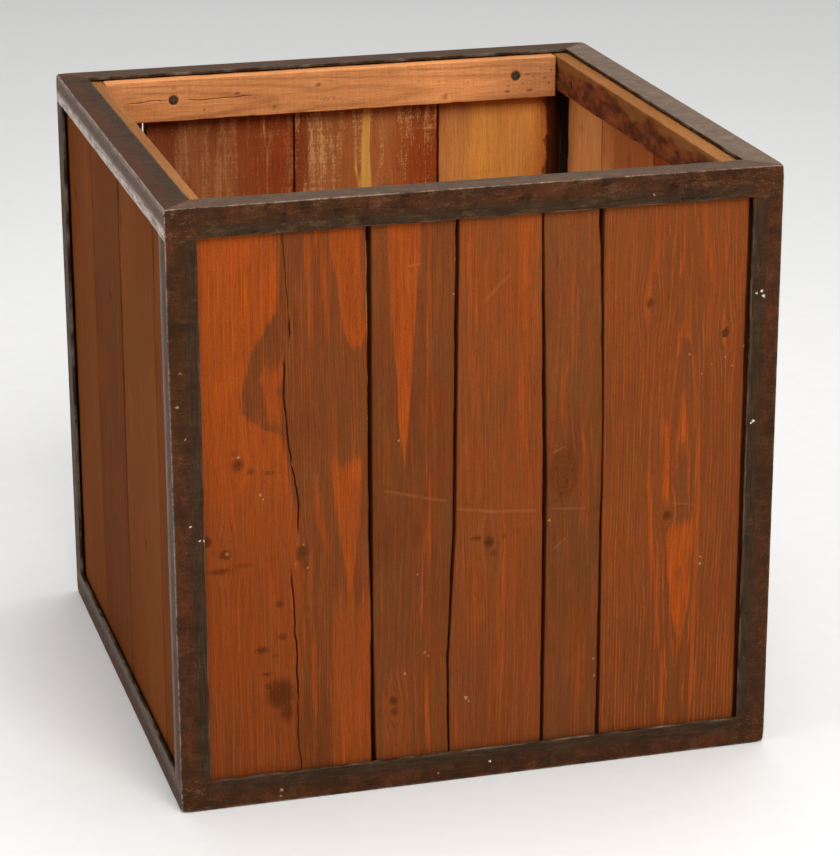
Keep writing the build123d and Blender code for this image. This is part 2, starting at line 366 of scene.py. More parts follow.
def bare_distance(along, across, outlines, crispness=0.0):
    """How far inside the nearest bare streak a point is, in millimetres, below 0 outside, and how bare it is.

    With crispness, the distance grows faster at the edges of the barest streaks.
    """
    best, strength = np.full(along.shape, FAR_OUTSIDE), np.zeros(along.shape)
    for amount, outline in outlines:
        sharp = 1.0
        if isinstance(amount, list):
            amount = np.interp(along, *zip(*sorted(amount)))
        else:
            sharp += crispness * smooth(*BAREST, amount)
        places, lows, highs = (np.array(column, float) for column in zip(*sorted(outline)))
        low, high = np.interp(along, places, lows), np.interp(along, places, highs)
        from_ends = np.minimum(along - places[0], places[-1] - along) / END_TAPER
        inside = sharp * np.minimum(np.minimum(across - low, high - across), from_ends)
        strength = np.where(inside > best, amount, strength)
        best = np.maximum(best, inside)
    return best, strength


def blended(along, across, colours):
    """Colours spread over a face: each is (along, across, colour), and the nearest ones count most."""
    total, weights = 0.0, 0.0
    for place_along, place_across, colour in colours:
        away = ((along - place_along) / 3.0) ** 2 + (across - place_across) ** 2
        weight = 1.0 / (away + 60.0) ** 1.6
        total = total + weight[..., None] * linear(colour)
        weights = weights + weight
    return total / weights[..., None]


def bent_grain(noise, plank, knots):
    """Places across the grain, as it wanders along a plank and runs round its knots."""
    along, across = plank.along, plank.across
    bend = 2.2 * noise(along / 160.0, across / 60.0) + 0.5 * noise(along / 45.0, across / 18.0)
    run = across + bend
    for k_across, k_along, _, reach in knots:
        near = np.exp(-(((across - k_across) / reach) ** 2) - ((along - k_along) / (2.4 * reach)) ** 2)
        run = run - 0.82 * near * (across - k_across)
    return run


def growth_rings(noise, plank, figure, run):
    """Which ring each point lies in, counted from the pith or from a knot's heart, and how far it is in a knot."""
    along, across = plank.along, plank.across
    places, piths, sinks = zip(*sorted(figure.pith))
    away = np.hypot(run - np.interp(along, places, piths), plank.depth + np.interp(along, places, sinks))
    ring = away / figure.spacing + 0.25 * noise(along / 70.0, away / 9.0)
    knot = np.zeros_like(along)
    for k_across, k_along, radius, _ in figure.knots:
        tall = 1.25 if radius < 10 else 1.75  # a big knot is cut more obliquely
        away_knot = np.hypot(across - k_across, (along - k_along) / tall)
        away_knot = away_knot + 0.12 * radius * noise(along / 3, across / 3)
        faint = min(1.0, 8.0 / radius)
        knot = np.maximum(knot, faint * (1 - smooth(0.8 * radius, 1.25 * radius, away_knot)))
        ring = np.where(away_knot < radius, away_knot / max(1.2, radius / 4.5), ring)
    return ring, knot


def dark_marks(plank, marks):
    """How dark the marks make each point of a plank's face."""
    mark = np.zeros_like(plank.along)
    for m_across, m_along, half_width, half_height, strength in marks:
        away = ((plank.across - m_across) / half_width) ** 2 + ((plank.along - m_along) / half_height) ** 2
        mark = np.maximum(mark, strength * np.exp(-0.8 * away))
    return mark * plank.on_face


def wood_values(plank, figure, seed):
    """The named values that the timber materials read, at every point of a plank."""
    noise = Noise(seed)
    along, across = plank.along, plank.across
    run = bent_grain(noise, plank, figure.knots)
    ring, knot = growth_rings(noise, plank, figure, run)
    inner = plank.on_back.astype(float)
    face_tint = blended(along, across, figure.colours)
    inner_tint = 1.22 * blended(along, across, figure.inner or figure.colours)
    bare, bareness = bare_distance(along, across, figure.bare, CRISPNESS)
    split, _ = bare_distance(along, across, figure.splits)
    return {
        "grain": np.stack([run, along, plank.depth + 40.0 * (seed % 7)], -1),  # so neighbours differ
        "ring": ring,
        "lines": figure.lines * (1 + 0.3 * noise(along / 60, across / 25)),
        "bare": np.where(plank.on_back, FAR_OUTSIDE, bare),
        "bareness": bareness,
        "split": np.where(plank.on_back, split, FAR_OUTSIDE),
        "knot": knot * (1 - 0.6 * inner),
        "mark": dark_marks(plank, figure.marks),
        "tint": face_tint + (inner_tint - face_tint) * inner[..., None],
        "flecks": figure.flecks * inner,
        "inside": inner,
        # Painted shade along the board's long edges, where they meet neighbouring boards and the frame.
        "edge": np.clip(1 - plank.edge_gap / 3.0, 0, 1),
    }


def wood_relief(plank, seed, waviness=0.25, ragged=0.0):
    """How far a plank's surface lies inside its CAD solid: hollows, worn edges and screw dishes."""
    noise = Noise(seed + 500)
    along, across, depth = plank.along, plank.across, plank.depth
    wave = waviness * (0.6 + 0.6 * noise(along / 110, across / 35, depth / 30))
    gaps = plank.edge_gap, np.minimum(depth, BOARD - depth)
    arris = np.clip(1 - gaps[0] / 3.5, 0, 1) * np.clip(1 - gaps[1] / 3.5, 0, 1)
    bite = arris * np.clip(noise.rough(along / 22, across / 15 + 9), 0.05, 1) * 1.6
    on_edge = (np.abs(plank.normals[0]) > 0.5).astype(float)
    tear = ragged * on_edge * np.clip(noise.rough(along / 16, depth / 12, octaves=4), 0, 1)
    return np.clip(wave, 0, None) + bite + tear + plank.screw_dishes()


def jagged(line, reach, seed):
    """A line of (along, across) made to wander in short, sharp steps."""
    noise = Noise(seed)
    places, across = zip(*sorted(line))
    fine = np.arange(places[0], places[-1], 3.0)
    wander = reach * (noise(fine / 9.0) + 0.6 * noise(fine / 3.5))
    return list(zip(fine, np.interp(fine, places, across) + wander))


def crack_relief(plank, strands):
    """Depth of the open cracks: each strand is (start, end, width, depth), along the plank's crack line."""
    places, line = zip(*sorted(plank.crack))
    off = np.abs(plank.across - np.interp(plank.along, places, line))
    cut = np.zeros_like(plank.along)
    for start, end, wide, deep in strands:
        taper = smooth(start, start + 14, plank.along) * (1 - smooth(end - 14, end, plank.along))
        cut = np.maximum(cut, deep * taper * np.clip(1 - off / (wide * (0.35 + 0.65 * taper)), 0, 1) ** 0.7)
    return cut * plank.on_face


def open_cracks(plank, strands, values, relief, full, darkest=1.0):
    """Relief with the cracks cut into it, and painted shade laid in them with the dark marks: darkest where they are
    as deep as full.
    """
    cut = crack_relief(plank, strands)
    # Painted shade in the cracks, the deeper the darker, carried with the dark marks.
    values["mark"] = np.maximum(values["mark"], np.clip(cut / full, 0, darkest))
    return relief + cut


# ---- Front wall: what is seen of each board ----

FILM = (120, 63, 29)

FRONT_CRACK = [
    (596, 110), (566, 111), (526, 113), (497, 115), (470, 115.6), (443, 110), (416, 109.3), (378, 111.8),
    (345, 115), (327, 118.9), (301, 122), (275, 121), (250, 117), (234, 113.6), (198, 115.5), (153, 117.3),
    (118, 118), (78, 117.3), (31, 120.4), (4, 121),
]
FRONT_CRACK_STRANDS = [
    (492, 598, 0.36, 2.6), (462, 492, 0.6, 3.0), (384, 452, 0.72, 4.0), (338, 396, 0.5, 4.0), (270, 348, 0.62, 4.0),
    (100, 238, 0.6, 4.0), (0, 112, 0.4, 2.2),
]

# The front boards' colours below are lighter near their tops than lower down, and the first board's first bare streak
# fades lower down: painted shade, where the light falls off towards the bottom.
FIGURES = {}
FIGURES["front_board_1"] = Figure(
    pith=[(0, -40, 55), (596, -30, 60)],
    spacing=2.6,
    lines=0.35,
    knots=[(51, 259, 4.5, 12), (64, 348, 5, 10), (124, 252, 6, 12)],
    bare=[
        ([(600, 1.0), (400, 0.85), (340, 0.7), (240, 0.43), (190, 0.46), (90, 0.26), (0, 0.2)],
         [(600, 0, 104), (540, 0, 106), (495, 0, 104), (475, 0, 92), (452, 0, 78), (424, 0, 70), (398, 0, 68),
          (384, 0, 84), (372, 0, 108), (300, 0, 118), (250, 0, 124), (120, 0, 122), (70, 0, 119), (0, 0, 124)]),
        (0.7, [(444, 94, 110), (430, 86, 108), (418, 90, 104), (396, 92, 106), (384, 84, 106)]),
        (0.7, [(600, 129, 134), (540, 131, 137), (476, 135, 137)]),
        (0.6, [(600, 139, 146), (540, 143, 150), (500, 148, 153), (466, 152, 154)]),
        (0.85, [(600, 153, 187), (557, 155, 185), (520, 161, 185), (490, 165, 187), (470, 168, 189),
         (450, 175, 184)]),
        (0.5, [(528, 120, 124), (500, 122, 126)]),
        (0.75, [(340, 155, 184), (300, 158, 182), (270, 161, 180), (240, 166, 177), (210, 169, 173)]),
        (0.55, [(326, 136, 140), (290, 138, 144), (258, 146, 151)]),
        (0.5, [(205, 154, 194), (180, 153, 193), (100, 153, 192), (0, 151, 192)]),
        (0.5, [(240, 130, 134), (180, 131, 136), (100, 132, 136)]),
    ],
    marks=[
        (61, 359, 4, 5, 0.45), (64, 347, 6, 7, 0.6), (76, 340, 5, 4, 0.5), (95, 337, 10, 3, 0.45),
        (33, 274, 4, 5, 1.0), (50, 259, 7, 5, 0.6), (40, 262, 9, 4, 0.35), (44, 243, 17, 4, 0.5),
        (66, 247, 16, 4, 0.4), (102, 204, 5, 5, 0.55), (104, 170, 6, 5, 0.5), (84, 158, 9, 5, 0.55),
        (96, 151, 10, 3, 0.4), (113, 158, 6, 3, 0.3), (88, 133, 10, 3, 0.45), (112, 136, 6, 3, 0.3),
        (101, 111, 14, 16, 0.75), (107, 92, 8, 14, 0.55), (90, 120, 6, 5, 0.5), (124, 255, 8, 9, 0.45),
        (127, 240, 6, 9, 0.45), (113, 236, 8, 4, 0.35), (96, 262, 14, 5, 0.25),
    ],
    colours=[
        (590, 60, FILM), (420, 90, (104, 54, 27)), (450, 150, (112, 59, 29)), (200, 60, (103, 51, 24)),
        (250, 150, (110, 58, 28)), (60, 100, (99, 50, 24)),
    ],
)
FIGURES["front_board_2"] = Figure(
    pith=[(0, 150, 70), (596, 160, 66)],
    spacing=4.0,
    lines=0.12,
    knots=[(213.5, 89, 4.0, 10), (213.5, 78, 3.0, 8)],
    bare=[
        (0.85, [(600, 208, 246), (565, 210, 243), (509, 213, 239), (486, 214, 237), (410, 219, 232.5),
         (367, 221.5, 229.5), (338, 225, 226)]),
        (0.6, [(600, 249.5, 252), (365, 248.2, 250.4), (288, 249, 251.4), (183, 242, 244.4),
         (102, 244, 246), (0, 251, 253)]),
        (0.28, [(124, 215, 220), (115, 208, 227), (95, 204, 230), (60, 202, 231), (0, 199, 231)]),
        (0.4, [(100, 236, 239), (0, 237, 240)]),
    ],
    marks=[
        (213.5, 90, 5, 5, 0.6), (214, 78, 6, 4, 0.45), (206, 102, 3, 14, 0.35), (228, 420, 40, 60, 0.08),
    ],
    colours=[
        (590, 200, (119, 62, 29)), (590, 260, (113, 60, 29)), (350, 215, (106, 54, 26)),
        (250, 250, (107, 55, 27)), (60, 210, (108, 59, 31)), (40, 260, (112, 59, 28)),
    ],
)
FIGURES["front_board_3"] = Figure(
    pith=[(0, 470, 60), (596, 455, 70)],
    spacing=3.0,
    lines=0.34,
    knots=[(310, 245, 4.5, 12)],
    bare=[
        (0.5, [(235, 321, 325), (190, 321, 326), (150, 318, 323), (80, 316, 321)]),
        (0.4, [(215, 295, 299), (160, 293, 297)]),
        (0.45, [(580, 338, 350), (450, 338, 349), (340, 341, 347)]),
        (0.35, [(560, 288, 296), (380, 292, 297)]),
    ],
    marks=[(297, 250, 8, 3.5, 0.5), (310, 245, 6, 6, 0.6), (325, 249, 4, 4, 0.45), (314, 233, 6, 5, 0.45)],
    colours=[
        (590, 320, (134, 68, 30)), (590, 350, (139, 70, 31)), (330, 300, (124, 64, 30)),
        (330, 350, (127, 63, 29)), (60, 300, (114, 59, 29)), (60, 350, (122, 61, 29)),
    ],
)
FIGURES["front_board_4"] = Figure(
    pith=[(0, 400, 40), (300, 388, 50), (596, 400, 48)],
    spacing=6.5,
    lines=0.20,
    knots=[(385.5, 308, 14, 18)],
    bare=[
        (0.4, [(510, 389, 394), (433, 389, 396), (401, 380, 387), (350, 383, 389)]),
        (0.35, [(130, 404, 409), (40, 398, 404)]),
        (0.3, [(340, 404, 412), (260, 402, 410)]),
    ],
    marks=[(372, 334, 6, 5, 0.3), (378, 281, 10, 4, 0.35), (400, 306, 4, 16, 0.3), (394, 311, 3, 3, 0.5)],
    colours=[
        (590, 390, (123, 67, 33)), (440, 380, (116, 64, 33)), (300, 390, (106, 56, 27)),
        (200, 390, (105, 57, 28)), (40, 390, (110, 59, 30)),
    ],
)
FIGURES["front_board_5"] = Figure(
    pith=[(0, 505, 24), (60, 504, 25), (250, 505, 19), (420, 506, 23), (596, 505, 30)],
    spacing=3.0,
    lines=0.72,
    knots=[(470, 472, 3.2, 12), (547.5, 436, 3.2, 11), (492, 253, 3.6, 11)],
    bare=[
        (1.0, [(244, 495, 518), (232, 493, 519), (192, 493, 518), (155, 498, 517), (135, 502, 512),
         (110, 506, 508)]),
        (0.9, [(350, 486, 490), (326, 488, 494), (300, 487, 493), (268, 484, 494)]),
        (0.85, [(380, 472, 475), (291, 470.5, 474), (227, 474.5, 478), (172, 480.5, 484), (90, 487.5, 491),
         (20, 490, 493)]),
        (0.85, [(380, 519, 522), (265, 522.5, 526.5), (152, 520.5, 524.5), (60, 520.5, 524), (20, 519, 522)]),
        (0.6, [(580, 518, 522), (561, 519, 524), (523, 526, 531), (484, 533, 538), (440, 529, 532)]),
        (0.55, [(565, 503, 505), (494, 505, 509), (446, 508, 511)]),
        (0.5, [(525, 474, 479), (482, 462, 468)]),
        (0.5, [(484, 481, 486), (455, 487, 491)]),
        (0.6, [(486, 462, 469), (474, 460, 465), (462, 463, 468)]),
        (0.55, [(452, 540, 545), (438, 551, 556), (424, 552, 555)]),
    ],
    marks=[
        (470, 472, 5, 5, 0.5), (547.5, 436, 5, 5, 0.5), (492, 253, 5, 5, 0.6), (508, 262, 12, 4, 0.3),
        (530, 420, 30, 30, 0.08),
    ],
    colours=[
        (590, 440, (126, 66, 31)), (590, 540, (124, 65, 31)), (420, 500, (119, 62, 30)),
        (300, 440, (120, 62, 29)), (250, 550, (117, 61, 29)), (60, 500, (110, 58, 28)),
    ],
)

# Specks of dried paint on the front, as x, height, radius and colour
OCHRE, CREAM, CHALK, TAN = (184, 112, 56), (160, 124, 90), (212, 202, 186), (150, 106, 72)
BOARD_SPECKS = [
    (225, 117, 1.5, OCHRE), (238, 219, 0.9, CREAM), (220, 357, 1.0, CREAM), (245, 137, 1.1, CREAM),
    (249, 133, 1.0, CREAM), (287, 84, 2.0, CREAM), (290, 80, 1.2, CREAM), (371, 261, 1.3, OCHRE),
    (528, 199, 1.6, CREAM), (528, 206, 1.3, CREAM), (567, 421, 1.5, OCHRE), (65, 355, 1.6, CREAM),
    (85, 316, 1.5, CREAM), (88, 311, 1.0, CREAM), (52, 260, 2.4, (150, 90, 45)), (126, 262, 1.1, TAN),
    (118, 243, 1.2, TAN), (130, 238, 1.3, TAN), (276, 531, 1.0, CREAM), (274, 497, 1.0, CREAM),
    (574, 470, 0.8, CREAM), (511, 417, 0.9, CREAM), (534, 405, 0.9, CREAM), (548, 411, 0.8, CREAM),
    (524, 396, 0.7, CREAM), (555, 402, 0.7, CREAM), (418, 110, 1.0, CREAM), (419, 92, 0.9, CREAM),
]
SCRATCH_COLOUR = (196, 130, 78)
# Faint scratches on the front: start and end as x and height, half width and strength
SCRATCHES = [
    ((201, 309), (246, 297), 2.6, 0.11), ((240, 298), (270, 291), 2.6, 0.11), ((272, 283), (320, 275), 2.6, 0.11),
    ((300, 277), (364, 272), 2.6, 0.11), ((370, 273), (412, 269), 2.0, 0.11), ((301, 484), (320, 503), 3.0, 0.10),
    ((316, 500), (332, 514), 2.8, 0.10), ((229, 527), (243, 529.5), 1.6, 0.18), ((494, 266), (520, 262), 1.8, 0.11),
    ((372, 329), (388, 336), 2.4, 0.10), ((374, 229), (389, 242), 2.0, 0.10),
]
STEEL_SPECKS = [
    (16.5, 293.5, 1.2, CHALK), (25.2, 278.5, 0.9, CHALK), (29.0, 278, 1.1, CHALK), (7.2, 412, 1.6, CREAM),
    (10.9, 444, 1.2, CREAM), (581, 477, 1.6, CHALK), (583, 471.4, 1.9, CHALK), (576, 475, 1.3, CHALK),
    (576.5, 345, 1.8, CHALK), (574.4, 343, 1.2, CHALK), (310, 15.5, 1.3, CHALK), (257, 9.5, 1.0, CREAM),
    (99, 12, 2.0, CREAM), (98, 6, 1.3, CREAM), (468.6, 579.8, 1.3, CREAM), (14, 380, 1.0, CREAM),
]

# ---- The other walls ----

BOARD_TOP = 596.0
# Each wall's axis across its boards, the way it faces, how bare its streaks are and its boards' tones
OTHER_WALLS = {
    "left": (Y, (X, -1), 0.28, [(108, 59, 23), (115, 62, 24), (102, 54, 21), (113, 61, 24)]),
    "right": (Y, (X, 1), 0.7, [(118, 62, 30), (110, 57, 28), (122, 64, 30), (112, 60, 30)]),
    "back": (X, (Y, 1), 0.7, [(112, 60, 30), (124, 64, 29), (114, 58, 28), (120, 64, 31)]),
}
LEFT_MARKS = {
    "left_board_2": [
        (262, 560, 10, 120, 0.34), (266, 400, 8, 160, 0.30), (92, 500, 3, 90, 0.5), (96, 400, 2.5, 80, 0.4),
    ],
    "left_board_3": [(276, 320, 6, 160, 0.28), (284, 130, 6, 110, 0.26), (330, 420, 34, 260, 0.16)],
}
INNER_TINTS = {
    "back_board_1": [(300, 50, (120, 66, 34))],
    "back_board_2": [
        (590, 105, (104, 50, 28)), (545, 110, (108, 52, 26)), (500, 105, (122, 66, 36)),
        (560, 165, (116, 56, 28)), (500, 150, (140, 84, 48)), (470, 175, (140, 82, 46)),
        (560, 205, (124, 58, 28)), (500, 215, (134, 64, 30)), (560, 246, (126, 56, 26)),
        (480, 244, (132, 60, 28)), (200, 110, (140, 84, 46)), (200, 240, (134, 62, 28)),
    ],
    "back_board_3": [
        (590, 268, (150, 84, 46)), (560, 260, (118, 52, 26)), (500, 262, (122, 56, 28)),
        (560, 285, (160, 98, 56)), (480, 290, (156, 94, 52)), (530, 315, (148, 84, 44)),
        (500, 337, (156, 90, 46)), (540, 362, (164, 100, 56)), (480, 360, (158, 92, 50)),
        (560, 385, (138, 66, 32)), (480, 385, (148, 70, 32)), (560, 404, (128, 56, 25)),
        (480, 404, (136, 60, 26)), (560, 418, (150, 70, 30)), (480, 418, (138, 60, 26)),
        (200, 300, (150, 86, 48)), (200, 400, (136, 54, 24)),
    ],
    "back_board_4": [
        (560, 424, (146, 86, 46)), (500, 440, (190, 120, 64)), (560, 448, (164, 102, 58)),
        (530, 475, (196, 130, 58)), (480, 470, (200, 132, 60)), (560, 500, (190, 120, 56)),
        (500, 510, (190, 124, 58)), (530, 530, (202, 134, 62)), (480, 548, (180, 106, 46)),
        (540, 548, (150, 78, 34)), (200, 480, (196, 128, 62)),
    ],
    "right_board_4": [
        (560, 560, (204, 142, 82)), (560, 500, (218, 154, 92)), (460, 540, (220, 158, 94)),
        (470, 570, (194, 130, 72)), (200, 500, (208, 146, 84)),
    ],
    "right_board_3": [
        (560, 350, (176, 104, 56)), (520, 400, (174, 104, 56)), (480, 440, (204, 136, 78)),
        (540, 450, (188, 118, 66)), (200, 380, (174, 106, 58)),
    ],
    "right_board_2": [(560, 200, (156, 72, 34)), (300, 200, (158, 82, 40))],
    "right_board_1": [(500, 80, (170, 104, 56)), (200, 80, (164, 100, 54))],
    "left_board_1": [(500, 60, (170, 104, 56)), (200, 60, (150, 84, 44))],
    "left_board_2": [(500, 180, (150, 74, 36)), (200, 180, (166, 96, 50))],
    "left_board_3": [(500, 350, (186, 120, 62)), (200, 350, (176, 110, 58))],
    "left_board_4": [(500, 500, (156, 84, 42)), (200, 500, (150, 76, 36))],
    "front_board_1": [(500, 100, (178, 112, 58)), (200, 60, (160, 90, 46))],
    "front_board_2": [(500, 230, (150, 72, 34)), (200, 230, (160, 84, 42))],
    "front_board_3": [(500, 320, (186, 120, 62)), (200, 320, (180, 112, 58))],
    "front_board_4": [(500, 390, (144, 66, 32)), (200, 390, (150, 78, 38))],
    "front_board_5": [(500, 500, (172, 106, 56)), (200, 500, (164, 96, 50))],
}
INNER_SPLITS = {
    "back_board_3": [
        (1.0, [(592, 337, 345), (542, 336, 345), (500, 333.5, 343), (461, 333, 345), (420, 337, 343),
               (370, 339, 340)]),
        (1.0, [(530, 328, 329), (509, 324.5, 327), (480, 325, 328.5), (465, 328, 331), (450, 331, 334)]),
    ],
    "back_board_2": [
        (1.0, [(560, 222, 224), (540, 221.5, 223.5), (505, 224.5, 226.5), (470, 224, 226), (430, 226, 227)]),
    ],
}
BARK_LEVELS = (0.04, 0.3, 0.55, 0.8, 0.96)  # depths at which the bark-edged board's edges are measured
FLECKS = {"back_board_2": 0.32, "back_board_3": 0.85, "left_board_2": 0.6, "front_board_4": 0.7, "left_board_4": 0.4}


def random_pith(rng, mid, sway, depths, top):
    """A pith line from a plank's foot to its top, that sways about its middle at some depth below the face."""
    return [(end, mid + rng.uniform(-sway, sway), rng.uniform(*depths)) for end in (0, top)]


def varied_tones(rng, tone, spread, places, edges):
    """Colours near a plank's two edges, each a little lighter or darker than its tone."""
    return [(a, w, np.clip(np.array(tone) + rng.uniform(-spread, spread), 0, 255)) for a in places for w in edges]


def plain_figure(node, seed, tone, streaks):
    """A made-up figure for a board that isn't seen closely: a pith line, a knot or two and a few bare streaks."""
    rng = np.random.default_rng(seed)
    solid = Solid(node)
    wide = [a for a in (X, Y) if solid.high[a] - solid.low[a] > 25][0]
    low, high = solid.low[wide], solid.high[wide]
    pith = random_pith(rng, (low + high) / 2, 60, (30, 60), BOARD_TOP)
    knots = [
        (rng.uniform(low + 15, high - 15), rng.uniform(60, 540), rng.uniform(3, 7), rng.uniform(10, 15))
        for _ in range(int(rng.integers(1, 4)))
    ]
    bare = []
    for _ in range(int(rng.integers(1, 4))):
        top, foot = rng.uniform(300, 600), rng.uniform(20, 280)
        start, end = rng.uniform(low + 10, high - 10, 2)
        width = rng.uniform(1.5, 9)
        drift = (end - start) / 6
        rows = [(top, start - width, start + width)]
        rows += [((top + foot) / 2, start + drift - width, start + drift + width)]
        rows += [(foot, start + drift * 2 - 0.5, start + drift * 2 + 0.5)]
        bare.append((streaks * rng.uniform(0.5, 1), rows))
    marks = [(k[0], k[1], k[2], k[2] * 1.3, 0.45) for k in knots]
    tones = varied_tones(rng, tone, 8, (60, 300, 560), (low, high))
    return Figure(pith, rng.uniform(2.6, 4.5), rng.uniform(0.1, 0.35), knots, bare, marks, tones)


def wall_board(node, width_axis, face, seed, figure, step, crack=None, strands=(), levels=(0.5,)):
    """Lays a board over its CAD node. Its edges are measured at the levels, from 0 at its back to 1 at its face."""
    plank = Plank(node, Z, width_axis, face, step, crack, levels=levels)
    figure.inner, figure.splits = INNER_TINTS.get(node, ()), INNER_SPLITS.get(node, ())
    figure.flecks = FLECKS.get(node, 0.12)
    values, relief = wood_values(plank, figure, seed), wood_relief(plank, seed)
    if crack is not None:
        relief = open_cracks(plank, strands, values, relief, 2.0)
    if node == "back_board_4":
        lumps = Noise(92).rough(plank.along / 20, plank.across / 7)
        values["mark"] = bark_edge(plank) * np.clip(0.75 + 0.5 * lumps, 0, 1)
        relief = relief + 1.2 * bark_edge(plank) * np.clip(0.4 + lumps, 0, 1)
    ridge = 0.5 + 0.5 * np.cos(2 * math.pi * values["ring"])
    relief = relief + 0.12 * ridge * values["lines"] * plank.on_face + 0.25 * values["knot"]
    finish_piece(plank.build(relief, values, "timber"), node, "stained_board")


def bark_edge(plank):
    """How much bark is left along a board's high edge: on the edge itself, and raggedly over its inner face."""
    wander = Noise(91)
    reach = 26 + 5 * wander(plank.along / 34) + 4 * wander(plank.along / 9, plank.across / 9)
    from_high = np.max(plank.across, 1, keepdims=True) - plank.across
    return smooth(reach + 1, reach - 2, from_high) * ~plank.on_face


def finish_piece(piece, node, slot):
    """Dresses a piece, sets it on the box's one body in its CAD node's place, and names its slot."""
    piece.data.materials.append(material(slot))
    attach(piece, "root")
    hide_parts(node)


def front_wall():
    for number in range(1, 6):
        node = f"front_board_{number}"
        crack, strands = (jagged(FRONT_CRACK, 0.7, 3), FRONT_CRACK_STRANDS) if number == 1 else (None, ())
        wall_board(node, X, (Y, -1), 10 + number, FIGURES[node], (2.2, 2.2), crack, strands)


def other_walls():
    for i, (wall, (width_axis, face, streaks, tones)) in enumerate(OTHER_WALLS.items()):
        for number, tone in enumerate(tones, 1):
            node, seed = f"{wall}_board_{number}", 30 + 10 * i + number
            levels = BARK_LEVELS if node == "back_board_4" else (0.5,)
            figure = plain_figure(node, seed, tone, streaks)
            figure.marks += LEFT_MARKS.get(node, [])
            step = (3.0, 1.6) if node in INNER_SPLITS else (4.0, 3.0)
            wall_board(node, width_axis, face, seed, figure, step, levels=levels)


# ---- Battens and floor ----

BATTEN_TONES = {
    "top_batten_back": (214, 142, 86),
    "top_batten_left": (150, 98, 50),
    "top_batten_right": (168, 102, 54),
    "top_batten_front": (192, 126, 70),
    "bottom_batten_back": (164, 112, 66),
    "bottom_batten_left": (158, 106, 62),
    "bottom_batten_right": (168, 114, 66),
    "bottom_batten_front": (160, 108, 64),
}
SLAT_TONES = [(166, 114, 68), (156, 104, 62), (172, 120, 74), (160, 108, 62), (168, 114, 66)]
# Dirt pressed into the back batten round its right screw: along and across from the screw, and half sizes
SCREW_DIRT = [
    (13, 1, 2.6, 0.9), (20, -2, 1.6, 1.2), (27, -1, 1.2, 0.7), (34, -4, 2.8, 0.9), (-2, -7, 1.6, 0.9),
    (-10, -17, 3.6, 0.8), (-8, -11, 1.4, 0.9), (25, -15, 2.2, 1.0), (38, -10, 1.6, 1.6), (8, -9, 1.2, 0.8),
    (29, 7, 1.2, 0.8), (42, 4, 1.2, 2.2), (16, -17, 4.4, 0.7), (-22, -12, 1.2, 0.7), (-16, -18, 2.0, 0.7),
    (4, -19, 2.4, 0.7), (33, -19, 3.0, 0.7),
]
BACK_BATTEN_STRANDS = [(62, 118, 0.40, 1.4), (128, 212, 0.45, 1.6)]
BACK_BATTEN_CRACK = [(45, 570), (70, 571), (95, 573), (120, 572.5), (150, 571), (185, 571.5), (215, 573), (555, 574)]
COARSE = (4.0, 4.0)  # spacing of the hidden timbers' points
HEAD_SPAN = 12.0  # points nearer than this are on the same screw head
FACE_GAP = 0.3  # how near to a timber's face a screw head's points lie
FEWEST_POINTS = 6  # fewer points than this are no screw head


def screw_heads(group, length, width, thick, near):
    """Where a group's screw heads lie on a timber, as places along and across it."""
    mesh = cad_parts[group].data
    points = (np.array([v.co for v in mesh.vertices]) - CORNER) / MM
    on_face = points[np.abs(points[:, thick] - near) < FACE_GAP]
    heads = []
    for point in on_face[:, [length, width]]:
        beside = [h for h in heads if np.hypot(*(point - h[0])) < HEAD_SPAN]
        if beside:
            beside[0].append(point)
        else:
            heads.append([point])
    return [tuple((np.min(h, 0) + np.max(h, 0)) / 2) for h in heads if len(h) > FEWEST_POINTS]


def batten_figure(node, seed, tone, width):
    """A made-up figure for a batten or slat: a pith line, three small knots, some dirt, and painted shade towards the
    right top batten's upper edge; the back one is darker at its right end and lighter short of it.
    """
    rng = np.random.default_rng(seed)
    solid = Solid(node)
    low, high = solid.low[width], solid.high[width]
    mid = (low + high) / 2
    pith = random_pith(rng, mid, 25, (25, 60), 600)
    knots = [(rng.uniform(low + 8, high - 8), rng.uniform(80, 520), rng.uniform(2, 4), 8.0) for _ in range(3)]
    marks = [(k[0], k[1], k[2], k[2] * 1.2, 0.5) for k in knots]
    spans = (low, high), (40, 560), (1, 2.5), (2, 7), (0.25, 0.6)
    marks += [tuple(rng.uniform(*span) for span in spans) for _ in range(10)]
    tones = varied_tones(rng, tone, 9, (60, 300, 540), (low, high))
    # Painted shade: the right top batten's tones are darker towards its upper edge, where the light falls strongly.
    if node == "top_batten_right":
        tones = [(a, w, t * (0.84, 0.90, 0.78) if w == high else t) for a, w, t in tones]
    if node == "top_batten_back":
        tones = [(a, w, t * 0.90 if a == 540 else t) for a, w, t in tones] + [(430, mid, np.array(tone) * 1.10)]
    return Figure(pith, rng.uniform(2.2, 3.2), 0.35, knots, (), marks, tones)


